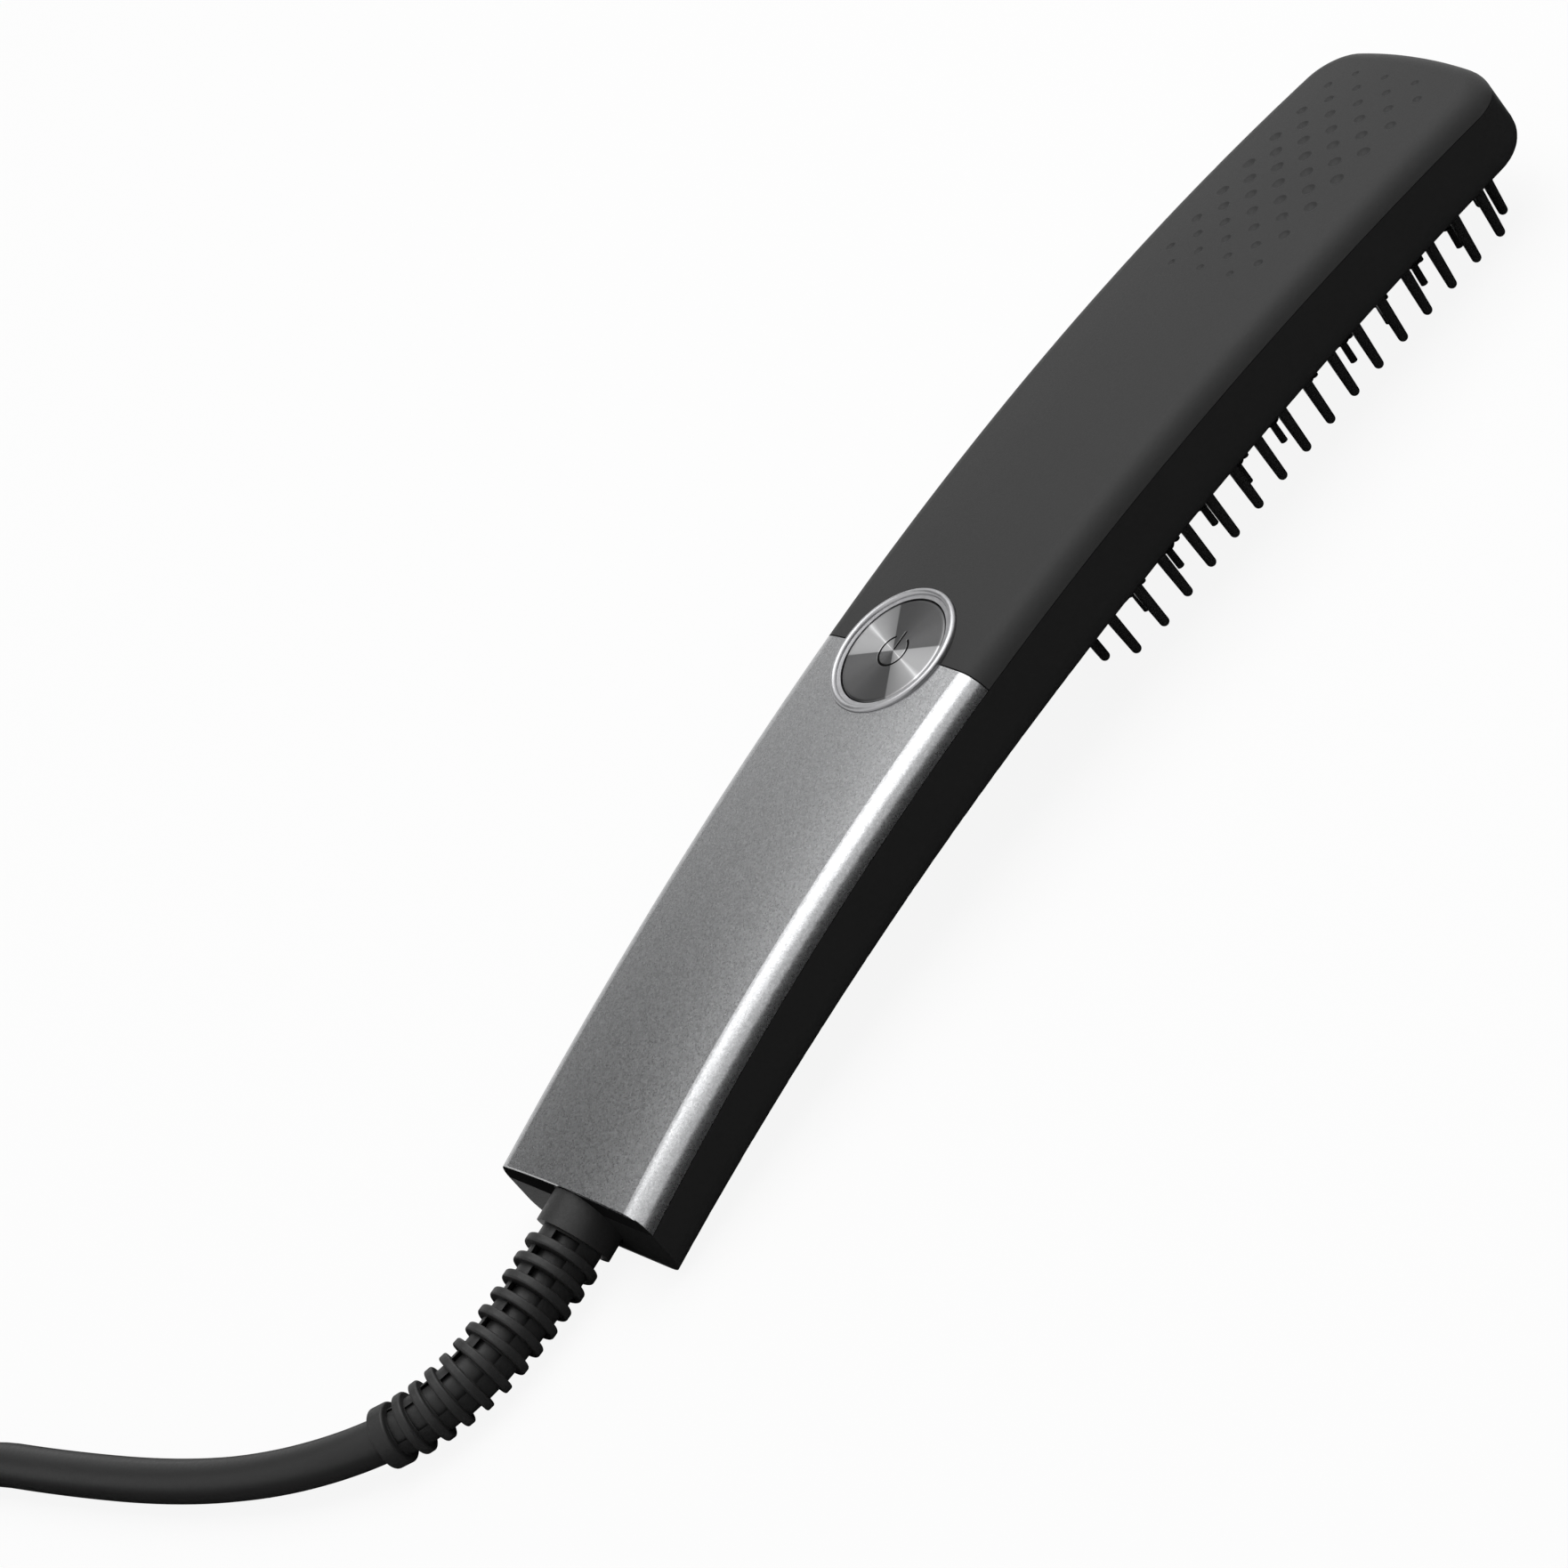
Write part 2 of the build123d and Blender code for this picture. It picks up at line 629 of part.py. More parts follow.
def comb_screw_places():
    """Four places between bristles, two on each long side of the comb."""
    between = bristle_spots()[1]
    targets = [(COMB_MID_ARC + CREST_X + sx * COMB_SCREW_SPAN / 2, sy * COMB_HALF_WIDTH)
               for sx in (-1, 1) for sy in (-1, 1)]
    return [belly_at(min(between, key=lambda p: hypot(p.X - x, p.Y - y))) for x, y in targets]


def make_edge_comb():
    """Frame round the heated plate."""
    rim = comb_outline(0) - comb_outline(COMB_RIM)
    seat = comb_outline(0) - comb_outline(COMB_RIM - COMB_STEP)
    comb = belly_layer(rim, 0, COMB_LEDGE)
    comb += belly_layer(seat, COMB_LEDGE, COMB_THICK)
    comb += belly_layer(comb_outline(-COMB_FLANGE) - comb_outline(COMB_STEP), WALL + FIT, COMB_THICK)
    for place in comb_screw_places():
        comb -= drum(place, COMB_SCREW_D / 2 + FIT, -1, THICKNESS)
        comb -= drum(place, COMB_SCREW_HEAD_D / 2 + FIT, -1, SCREW_HEAD)
    return comb


def make_edge_bristles():
    """One row of bristles round the comb, standing on its face and domed at the tip."""
    bristles = []
    shank = BRISTLE_SHANK - BRISTLE_SEAT
    for point in bristle_spots()[0]:
        bristle = belly_at(point, -BRISTLE_SEAT - shank / 2) * Cone(BRISTLE_TIP_R, BRISTLE_D / 2, shank)
        bristles.append(bristle + belly_at(point, -BRISTLE_SHANK) * Sphere(BRISTLE_TIP_R))
    return Compound(bristles)


def make_comb_screws():
    screws = []
    for place in comb_screw_places():
        screw = drum(place, COMB_SCREW_D / 2, SCREW_HEAD, COMB_SCREW_LENGTH)
        screws.append(screw + drum(place, COMB_SCREW_HEAD_D / 2, FIT, SCREW_HEAD))
    return Compound(screws)


def dome_spots():
    """Arc length and y of each dome; every second row lies half a pitch over."""
    spots = []
    for row in range(DOME_ROWS):
        y = (row - (DOME_ROWS - 1) / 2) * DOME_ROW_PITCH
        count = DOMES_IN_ROW - row % 2
        first = COMB_MID_ARC - (count - 1) * DOME_PITCH / 2
        spots += [(first + k * DOME_PITCH, y) for k in range(count)]
    return spots


def dome():
    """One dome under a place on the plate's face: a bulged flank that runs on into the plate."""
    top = DOME_TOP_D / 2
    root = DOME_D / 2 + DOME_ROOT / 4
    belly_r = (top + root) / 2 + DOME_BULGE
    flank = ThreePointArc((root, DOME_ROOT), (belly_r, -DOME_HEIGHT / 2), (top, -DOME_HEIGHT))
    core = Polyline(flank @ 1, (0, -DOME_HEIGHT), (0, DOME_ROOT), flank @ 0)
    return revolve(Plane.XZ * make_face(flank + core), Axis.Z)


def clamp_spots():
    return [(COMB_MID_ARC + sx * HEATER_PITCH / 2, sy * CLAMP_BOSS_Y) for sx in (-1, 1) for sy in (-1, 1)]


def vent_spots():
    first = -(VENTS - 1) / 2
    return [belly(NOZZLE_ARC, (first + k) * VENT_PITCH) for k in range(VENTS)]


def make_heater_plate():
    """Metal plate with staggered domes, resting on the ledge of the comb."""
    plate = belly_layer(comb_outline(COMB_RIM + PLATE_GAP), PLATE_FACE, PLATE_BACK)
    seat = comb_outline(COMB_RIM - COMB_STEP + PLATE_GAP)
    plate += belly_layer(seat, COMB_LEDGE + FIT, PLATE_BACK)
    one = dome()
    plate += [belly(arc, y, PLATE_FACE) * one for arc, y in dome_spots()]
    for arc, y in clamp_spots():
        plate += drum(belly(arc, y), CLAMP_BOSS_D / 2, PLATE_FACE + 1, CLAMP_FACE - FIT)
        plate -= drum(belly(arc, y), CLAMP_SCREW_D / 2 + FIT, PLATE_BACK - 0.5, DEEP / 4)
    return plate - [drum(place, VENT_D / 2, -1, 2 * PLATE_BACK) for place in vent_spots()]


def make_cool_tips():
    """Thin heatproof tip on each dome."""
    low = TIP_PIN_SHORT - BRISTLE_LENGTH
    high = PLATE_FACE - DOME_HEIGHT
    return Compound([drum(belly(arc, y), TIP_PIN_D / 2, low, high) for arc, y in dome_spots()])


def heater_arcs():
    return [COMB_MID_ARC + (k - (HEATERS - 1) / 2) * HEATER_PITCH for k in range(HEATERS)]


def make_ptc_heaters():
    low = PLATE_BACK + STACK_GAP
    return Compound([
        belly_layer(
            rounded(arc - HEATER_LENGTH / 2, arc + HEATER_LENGTH / 2, HEATER_WIDTH / 2, 0.5),
            low,
            HEATER_BACK,
        )
        for arc in heater_arcs()
    ])


def stack_outline(half_width):
    reach = (HEATERS - 1) * HEATER_PITCH / 2 + HEATER_LENGTH / 2
    return rounded(COMB_MID_ARC - reach, COMB_MID_ARC + reach, half_width, 1.5)


def make_insulation_pad():
    return belly_layer(stack_outline(HEATER_WIDTH / 2), HEATER_BACK + STACK_GAP, PAD_BACK)


def make_heater_clamp():
    """Spring plate that presses the heaters down, screwed to the bosses of the heated plate."""
    clamp = belly_layer(stack_outline(CLAMP_HALF_WIDTH), CLAMP_FACE, CLAMP_BACK)
    return clamp - [
        drum(belly(arc, y), CLAMP_SCREW_D / 2 + FIT, 0, THICKNESS) for arc, y in clamp_spots()
    ]


def make_clamp_screws():
    screws = []
    for arc, y in clamp_spots():
        screw = drum(belly(arc, y), CLAMP_SCREW_D / 2, CLAMP_BACK - CLAMP_SCREW_LENGTH, CLAMP_BACK + FIT)
        head = drum(belly(arc, y), CLAMP_SCREW_D * 0.9, CLAMP_BACK + FIT, CLAMP_BACK + SCREW_HEAD)
        screws.append(screw + head)
    return Compound(screws)


def make_thermistor():
    """Bead on the back of the heated plate, between two heaters."""
    place = belly(COMB_MID_ARC - HEATER_PITCH / 2)
    low = PLATE_BACK + STACK_GAP
    return block(place, THERMISTOR_SIDE, THERMISTOR_SIDE, low, low + THERMISTOR_SIDE * 0.9)


def make_thermal_fuse():
    """Cut-out lying on the clamp."""
    height = CLAMP_BACK + STACK_GAP + FUSE_D / 2
    place = belly(COMB_MID_ARC + HEATER_PITCH / 4, 0, height)
    return place * Rot(0, 90, 0) * Cylinder(FUSE_D / 2, FUSE_LENGTH)


# ---- steam ----
def make_water_tank():
    """Small tank in the neck, with its filler port in its floor."""
    low = WALL + FIT
    place = belly(TANK_ARC)
    tank = Pos(0, 0, low + TANK_HEIGHT / 2) * Box(TANK_LENGTH, TANK_WIDTH, TANK_HEIGHT)
    tank = place * fillet(tank.edges().filter_by(Axis.Z), TANK_WALL)
    inside = block(
        place,
        TANK_LENGTH - 2 * TANK_WALL,
        TANK_WIDTH - 2 * TANK_WALL,
        low + TANK_WALL,
        low + TANK_HEIGHT - TANK_WALL,
    )
    tank -= inside
    tank -= drum(place, PORT_D / 2 + FIT, 0, low + 2 * TANK_WALL)
    front = place * Pos(TANK_LENGTH / 2, 0, TUBE_HEIGHT) * Rot(0, 90, 0)
    return tank - drum(front, TUBE_D / 2 - TUBE_WALL, -2 * TANK_WALL, TANK_WALL)


def make_filler_stopper():
    """Rubber stopper: a bar in the dished recess and a plug in the port."""
    head = Pos(belly_x(TANK_ARC), 0) * RectangleRounded(STOPPER_LENGTH, STOPPER_WIDTH, STOPPER_LENGTH * 0.45)
    stopper = belly_layer(head, DISH_DEPTH - STOPPER_HEAD, DISH_DEPTH - FIT)
    return stopper + drum(belly(TANK_ARC), PORT_D / 2, DISH_DEPTH - STOPPER_HEAD / 2, WALL + TANK_WALL + 1)


def make_steam_nozzle():
    """Box over the vents of the heated plate that spreads the steam."""
    low = PLATE_BACK + STACK_GAP
    place = belly(NOZZLE_ARC)
    nozzle = block(place, NOZZLE_LENGTH, NOZZLE_WIDTH, low, low + NOZZLE_HEIGHT)
    nozzle -= block(place, NOZZLE_LENGTH - 1.6, NOZZLE_WIDTH - 1.6, 0, low + NOZZLE_HEIGHT - 0.8)
    return nozzle - drum(place, TUBE_D / 2 - TUBE_WALL, 0, 2 * NOZZLE_HEIGHT + low)


def tube_along(points, radius, wall=None, bend=2.0):
    """Round wire, or tube with that wall, along points with bent corners."""
    path = FilletPolyline(*points, radius=bend)
    start = Plane(origin=path @ 0, z_dir=path % 0)
    body = sweep(start * Circle(radius), path)
    if wall:
        body -= sweep(start * Circle(radius - wall), path)
    return body


def make_steam_tube():
    """Bent tube from the tank to the nozzle."""
    start = belly(TANK_ARC) * Pos(TANK_LENGTH / 2 + FIT, 0, TUBE_HEIGHT)
    corner = belly(NOZZLE_ARC, 0, TUBE_HEIGHT)
    top = PLATE_BACK + STACK_GAP + NOZZLE_HEIGHT + FIT
    points = [start.position, corner.position, belly(NOZZLE_ARC, 0, top).position]
    return tube_along(points, TUBE_D / 2, TUBE_WALL, TUBE_D / 2 + 0.2)


def make_heater_leads():
    """Two wires from the board, over the tank, to the clamp of the heaters."""
    wires = []
    lying = CLAMP_BACK + STACK_GAP + WIRE_D / 2
    for y in (-LEAD_Y, LEAD_Y):
        points = [
            button_place(BOARD_DEPTH - WIRE_D / 2 - STACK_GAP) * Pos(BOARD_AHEAD - 3.0, y, 0),
            crest(TANK_ARC - TANK_LENGTH / 2 - 1, y, LEAD_DEPTH),
            crest(TANK_ARC + TANK_LENGTH / 2, y, LEAD_DEPTH),
            belly(NOZZLE_ARC + 8, y, lying),
            belly(NOZZLE_ARC + 16, y, lying),
        ]
        wires.append(tube_along([p.position for p in points], WIRE_D / 2))
    return Compound(wires)


# ---- swivel ----
def make_swivel_bush():
    bush = drum(swivel_place(), BUSH_D / 2, BUSH_INNER, BUSH_OUTER)
    return bush - drum(swivel_place(), SHAFT_D / 2 + FIT, BUSH_INNER - 1, BUSH_OUTER + 1)


def make_swivel_shaft():
    """Turning shaft: the cord enters it from outside, and its hub carries the slip rings."""
    place = swivel_place()
    shaft = drum(place, SHAFT_D / 2, BUSH_INNER - FIT, SHAFT_FACE)
    shaft += drum(place, RETAINER_D / 2, RETAINER_INNER, BUSH_INNER - FIT)
    shaft += drum(place, HUB_D / 2, HUB_END, RETAINER_INNER)
    return shaft - drum(place, CORD_D / 2 + FIT, -CORD_ENTRY - 0.1, 0)


def slip_ring_outs():
    return [RETAINER_INNER - 1.6 - (k + 0.5) * SLIP_RING_PITCH for k in range(SLIP_RINGS)]


def make_slip_rings():
    rings = []
    for out in slip_ring_outs():
        ring = drum(swivel_place(out), SLIP_RING_D / 2, -SLIP_RING_WIDTH / 2, SLIP_RING_WIDTH / 2)
        rings.append(ring - drum(swivel_place(out), HUB_D / 2, -SLIP_RING_WIDTH, SLIP_RING_WIDTH))
    return Compound(rings)


def make_contact_block():
    """Insulating block beside the slip rings, which holds their contacts."""
    low = min(slip_ring_outs()) - SLIP_RING_PITCH / 2
    high = max(slip_ring_outs()) + SLIP_RING_PITCH / 2
    place = swivel_place() * Pos(CONTACT_Y + CONTACT_WIDTH / 2, 0, 0)
    body = block(place, CONTACT_WIDTH, DEEP, low, high) & bar(WALL + STACK_GAP)
    return body & across(SEAM_RADIUS, TOP_CENTRE_Z)


def make_contact_springs():
    """Flat spring contacts, one on each slip ring."""
    springs = []
    for out in slip_ring_outs():
        near = SLIP_RING_D / 2 + FIT
        middle = swivel_place(out) * Pos((near + CONTACT_Y) / 2, 0, 0)
        springs.append(middle * Box(CONTACT_Y - near, SLIP_RING_WIDTH, SLIP_RING_WIDTH * 0.7))
    return Compound(springs)


def make_mains_leads():
    """Two wires from the contact block to the board."""
    wires = []
    start = swivel_place(min(slip_ring_outs()) - SLIP_RING_PITCH / 2 - 4 * FIT)
    for step in (-1, 1):
        y = CONTACT_Y + CONTACT_WIDTH / 2 + step * WIRE_D
        end = button_place(BOARD_DEPTH) * Pos(BOARD_AHEAD - BOARD_LENGTH - FIT, y, -BOARD_THICK / 2)
        begin = start * Pos(y, 0, 0)
        middle = (begin.position + end.position) / 2 + Vector(0, 0, WIRE_D / 2)
        wires.append(tube_along([begin.position, middle, end.position], WIRE_D / 2))
    return Compound(wires)


# ---- cord, strain relief, coil and plug ----
def cord_points():
    """Corners of the cord's route, from inside the swivel to where the coil begins."""
    ends = [swivel_place(-CORD_ENTRY).position, swivel_place(RELIEF_COLLAR).position]
    return ends + [Vector(*point) for point in CORD_ROUTE]


def bend_radii(points):
    """The largest even bend at each corner: 0.45 of the shorter run beside it."""
    radii = []
    for before, corner, after in zip(points, points[1:], points[2:]):
        turn = radians((corner - before).get_angle(after - corner))
        shorter = min((corner - before).length, (after - corner).length)
        radii.append(0.45 * shorter / tan(turn / 2))
    return radii


def cord_path():
    points = cord_points()
    return FilletPolyline(*points, radius=bend_radii(points))


def make_cord():
    path = cord_path()
    return sweep(Plane(origin=path @ 0, z_dir=path % 0) * Circle(CORD_D / 2), path)


def along_cord(length):
    """Place on the cord's axis, with its Z along the cord and its X turned towards up."""
    path = cord_path()
    share = length / path.length
    return Plane(origin=path @ share, x_dir=(0, 0, 1), z_dir=path % share).location


def relief_ring(length, radius, reach):
    """Ring of the relief with rounded rims, from half its thickness before a length to a reach past it."""
    thick = RELIEF_RING / 2 + reach
    ring = Cylinder(radius, thick)
    ring = fillet(ring.edges().filter_by(GeomType.CIRCLE), RELIEF_ROUNDING)
    return along_cord(length) * Pos(0, 0, (reach - RELIEF_RING / 2) / 2) * ring


def relief_sleeve(length, radius, width, turn):
    """Stretch of the sleeve between two rings, with two windows opposite each other."""
    place = along_cord(length)
    windows = place * Rot(0, 0, turn) * Box(4 * radius, width, RELIEF_PITCH - RELIEF_RING)
    return drum(place, radius, -RELIEF_PITCH / 2, RELIEF_PITCH / 2) - windows


def make_strain_relief():
    """Slotted sleeve with rings, whose windows alternate along it. Its last ring is drawn out into a cuff."""
    bore = CORD_D / 2 + RELIEF_BORE_GAP
    root = CORD_ENTRY + SHAFT_FACE
    first = CORD_ENTRY + RELIEF_COLLAR
    relief = drum(along_cord(root), RELIEF_ROOT_D / 2, 0, first - root)
    for k in range(RELIEF_RINGS):
        share = k / (RELIEF_RINGS - 1)
        radius = (RELIEF_FIRST_D + share * (RELIEF_LAST_D - RELIEF_FIRST_D)) / 2
        middle = first + (k + 0.5) * RELIEF_PITCH
        reach = RELIEF_CUFF if share == 1 else RELIEF_RING / 2
        relief += relief_ring(middle + RELIEF_PITCH / 2, radius, reach)
        relief += relief_sleeve(middle, radius - RELIEF_STEP, *RELIEF_WINDOWS[k % 2])
    path = cord_path()
    hole = sweep(Plane(origin=path @ 0, z_dir=path % 0) * Circle(bore), path)
    return relief - hole


def coil_heading():
    """Direction in which the cord reaches its coil, seen from above."""
    last = cord_points()[-1] - cord_points()[-2]
    return Vector(last.X, last.Y, 0).normalized()


def coil_turn():
    """Diameter of the coil, across the middle of the turns that take up the rest of the cord."""
    heading = coil_heading()
    arrival = degrees(atan2(heading.Y, heading.X)) - 90
    last_turn = (COIL_EXIT - arrival) % 360 / 360
    turns = COIL_WIDE * COIL_HIGH - 1 + last_turn
    return (CORD_LENGTH - cord_path().length - PLUG_RUN) / (pi * turns)


def coil_reach():
    """Radius of the outermost turn."""
    return coil_turn() / 2 + (COIL_WIDE - 1) / 2 * CORD_D


def coil_middle():
    """Middle of the coil, square to the left of the end of the cord's route."""
    heading = coil_heading()
    middle = cord_points()[-1] + Vector(-heading.Y, heading.X, 0) * coil_reach()
    return Vector(middle.X, middle.Y, TIE_THICK + 0.1)


def coil_ring():
    """Outer shape of the turns of the cord that are put away."""
    width = COIL_WIDE * CORD_D
    height = COIL_HIGH * CORD_D
    section = Plane.XZ * Pos(coil_turn() / 2, height / 2) * RectangleRounded(width, height, CORD_D * 0.49)
    return Pos(*coil_middle()) * revolve(section, Axis.Z)


def make_cord_coil():
    """The coil and the straight end of the cord that leaves it for the plug."""
    end = plug_place() * Pos(-PLUG_RUN / 2, 0, 0) * Rot(0, 90, 0)
    return coil_ring() + end * Cylinder(CORD_D / 2, PLUG_RUN)


def make_cord_tie():
    """Strap round the turns of the coil."""
    width = COIL_WIDE * CORD_D + 2 * TIE_THICK
    height = COIL_HIGH * CORD_D + 2 * TIE_THICK
    place = Pos(*coil_middle()) * Rot(0, 0, TIE_ANGLE) * Pos(coil_turn() / 2, 0, 0)
    strap = place * Pos(0, 0, COIL_HIGH * CORD_D / 2) * Box(width, TIE_WIDTH, height)
    return strap - coil_ring()


def plug_place():
    """Start of the plug's neck, with X along the plug."""
    turned = Pos(*coil_middle()) * Rot(0, 0, COIL_EXIT)
    return turned * Pos(coil_reach(), PLUG_RUN, PLUG_AXIS - TIE_THICK - 0.1) * Rot(0, 0, 90)


def make_plug_body():
    """Flat two-pin plug with a tapered neck."""
    neck_profile = Plane.YZ * Circle(CORD_D / 2 + 1.0)
    shoulder = Plane.YZ.offset(PLUG_NECK) * RectangleRounded(PLUG_THICK * 1.3, PLUG_THICK - 1, 4.0)
    neck = loft([neck_profile, shoulder])
    outline = Polyline(
        (PLUG_NECK, PLUG_THICK * 0.65),
        (PLUG_NECK + 6, PLUG_WIDTH / 2),
        (PLUG_NECK + PLUG_LENGTH - 6, PLUG_WIDTH / 2),
        (PLUG_NECK + PLUG_LENGTH, PLUG_WIDTH / 2 - 4),
        (PLUG_NECK + PLUG_LENGTH, 4 - PLUG_WIDTH / 2),
        (PLUG_NECK + PLUG_LENGTH - 6, -PLUG_WIDTH / 2),
        (PLUG_NECK + 6, -PLUG_WIDTH / 2),
        (PLUG_NECK, -PLUG_THICK * 0.65),
        close=True,
    )
    body = extrude(make_face(outline), PLUG_THICK / 2, both=True)
    body = chamfer(body.edges().filter_by(Plane.XY), 1.6)
    return plug_place() * (body + neck)


def make_plug_pins():
    end = plug_place() * Pos(PLUG_NECK + PLUG_LENGTH, 0, 0)
    pins = []
    for y in (-PIN_SPACING / 2, PIN_SPACING / 2):
        pin = end * Pos(PIN_LENGTH / 2, y, 0) * Rot(0, 90, 0) * Cylinder(PIN_D / 2, PIN_LENGTH)
        pins.append(chamfer(pin.edges().sort_by(Axis.Y)[0], 0.8))
    return Compound(pins)


def main():
    nodes = make_shells()
    nodes |= {
        "shell_screws": make_shell_screws(),
        "button_bezel": make_button_bezel(),
        "power_button": make_power_button(),
        "tact_switch": make_tact_switch(),
        "switch_plunger": make_switch_plunger(),
        "main_board": make_main_board(),
        "board_screws": make_board_screws(),
        "film_capacitor": on_board(24.0, 4.0, (18.0, 8.0, 5.2)),
        "triac": make_triac(),
        "terminal_block": make_terminal_block(),
        "edge_comb": make_edge_comb(),
        "edge_bristles": make_edge_bristles(),
        "comb_screws": make_comb_screws(),
        "heater_plate": make_heater_plate(),
        "cool_tips": make_cool_tips(),
        "ptc_heaters": make_ptc_heaters(),
        "insulation_pad": make_insulation_pad(),
        "heater_clamp": make_heater_clamp(),
        "clamp_screws": make_clamp_screws(),
        "thermistor": make_thermistor(),
        "thermal_fuse": make_thermal_fuse(),
        "water_tank": make_water_tank(),
        "filler_stopper": make_filler_stopper(),
        "steam_nozzle": make_steam_nozzle(),
        "steam_tube": make_steam_tube(),
        "heater_leads": make_heater_leads(),
        "mains_leads": make_mains_leads(),
        "swivel_bush": make_swivel_bush(),
        "swivel_shaft": make_swivel_shaft(),
        "slip_rings": make_slip_rings(),
        "contact_block": make_contact_block(),
        "contact_springs": make_contact_springs(),
        "strain_relief": make_strain_relief(),
        "cord": make_cord(),
        "cord_coil": make_cord_coil(),
        "cord_tie": make_cord_tie(),
        "plug_body": make_plug_body(),
        "plug_pins": make_plug_pins(),
    }
    os.makedirs("parts", exist_ok=True)
    for name, shape in nodes.items():
        export_step(shape, f"parts/{name}.step")
    radii = bend_radii(cord_points())
    print("cord's bends, mm:", [round(r) for r in radii])
    expected = pi * CORD_D**2 / 4 * cord_path().length
    print("cord's volume over section times length:", round(nodes["cord"].volume / expected, 4))


if __name__ == "__main__":
    main()
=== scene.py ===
import math

import bpy
import numpy as np
from mathutils import Matrix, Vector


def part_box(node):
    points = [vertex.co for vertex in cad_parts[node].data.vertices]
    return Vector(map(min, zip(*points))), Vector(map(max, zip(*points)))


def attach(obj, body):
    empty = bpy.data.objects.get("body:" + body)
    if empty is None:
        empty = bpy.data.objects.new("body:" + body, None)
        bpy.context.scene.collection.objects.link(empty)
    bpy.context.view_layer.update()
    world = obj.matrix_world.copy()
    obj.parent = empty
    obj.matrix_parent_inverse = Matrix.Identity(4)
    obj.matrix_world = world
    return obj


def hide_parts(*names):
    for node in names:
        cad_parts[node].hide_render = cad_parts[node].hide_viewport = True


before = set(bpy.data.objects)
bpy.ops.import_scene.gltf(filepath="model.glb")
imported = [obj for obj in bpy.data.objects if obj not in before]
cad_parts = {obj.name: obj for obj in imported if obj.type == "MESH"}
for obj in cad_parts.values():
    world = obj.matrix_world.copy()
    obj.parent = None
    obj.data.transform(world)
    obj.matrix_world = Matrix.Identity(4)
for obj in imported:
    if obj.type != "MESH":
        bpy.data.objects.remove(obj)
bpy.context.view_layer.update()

bl_info = {
    "name": "Steam Hair Straightener Brush",
    "version": (1, 0, 0),
    "blender": (4, 5, 0),
    "location": "View3D > Sidebar > Brush",
    "description": "Makes the looks of a steam hair straightener brush over its packed model",
    "category": "Add Mesh",
}

# Every size and place is in metres, and every angle in radians unless its line says otherwise.

# ---- body ----
CREST_X = 0.028
CREST_Z = 0.0326
TOP_RADIUS = 0.620  # arc of the top along the brush
TOP_CENTRE_Z = CREST_Z - TOP_RADIUS
CROWN_RADIUS = 0.170  # arc of the top across the brush
TAIL_X = -0.1185  # cut end of the handle
PAINT_LIP = 0.0005  # how far the cover's paint comes down its cut end
PAINT_FADE = 0.0002  # over how much more it fades out
END_SKIN = 0.0001  # depth of the layer that counts as the cut end

# ---- button ----
BUTTON_ARC = -0.0473  # from the crest to the button, along the top
BUTTON_TILT = BUTTON_ARC / TOP_RADIUS
BUTTON_ORIGIN = np.array((
    CREST_X + TOP_RADIUS * math.sin(BUTTON_TILT),
    0.0,
    TOP_CENTRE_Z + TOP_RADIUS * math.cos(BUTTON_TILT),
))
FINE_RINGS = (0.00002, 0.0042, 64)  # first radius, last radius and count, where the mark lies
WIDE_RINGS = (0.0044, 0.0094, 22)  # the same outside the mark
FACE_Z = -0.00015  # heights on the button are along its axis, from the top's arc
FACE_RADIUS = 0.0097
EDGE_ROUND = 0.0004
SKIRT_Z = (-0.0015, -0.0036)
MARK_OPENING = math.radians(33)  # half of the gap in the mark's ring
BAR_START = 0.0004  # how far from the middle the mark's bar starts
BAR_END = 1.28  # and ends, as a share of the ring's radius
MARK_HALF = 0.00018  # half the width of the mark's floor
MARK_SLOPE = 0.00006  # width of each of its sides
MARK_DEPTH = 0.00008
TURNED_MAP = "turned"  # round the button along U, its radius in centimetres along V
GROOVES = 140.0  # cells of noise in a centimetre of radius
PAINTED_SHEEN_TURN = 71.0  # degrees from the tip's side of the button to the painted highlight rays in its colour
PAINTED_SHEEN_STOPS = (  # share of half a turn and the painted brightness there: highlight rays, bright sectors and darker dull sectors
    (0.0, 1.9), (0.014, 1.25), (0.03, 1.0), (0.17, 0.85), (0.197, 0.8),
    (0.207, 0.26), (0.33, 0.32), (0.5, 0.42), (0.67, 0.32), (0.793, 0.26),
    (0.803, 0.8), (0.83, 0.85), (0.97, 1.0), (0.986, 1.25), (1.0, 1.9),
)

# ---- cord ----
SWIVEL = np.array((TAIL_X, 0.0, 0.0077))
SWIVEL_TILT = math.radians(10.0)
SWIVEL_OUT = np.array((-math.cos(SWIVEL_TILT), 0.0, -math.sin(SWIVEL_TILT)))
CORD_D = 0.0074
COIL_FLOOR = 0.0015  # height of the underside of the coil's lower turns
COIL_EXIT = math.pi  # bearing at which the cord leaves the coil
COIL_TURNS = 5  # whole ones
COIL_WIDE = 3  # turns beside each other on a layer
COIL_STEP = math.radians(22.5)  # from corner to corner
STEP_SHARE = 0.2  # last part of a turn, over which it moves to the next place
LINE_SHARE = 0.981  # radius of the cord's line as a share of its corners' radius
PLUG_RUN = 0.030  # from the coil to the plug
PLUG_AXIS = 0.0070  # height of the plug's axis
RUN_SHARES = (0.0, 0.4, 0.75, 1.0)  # corners along that run

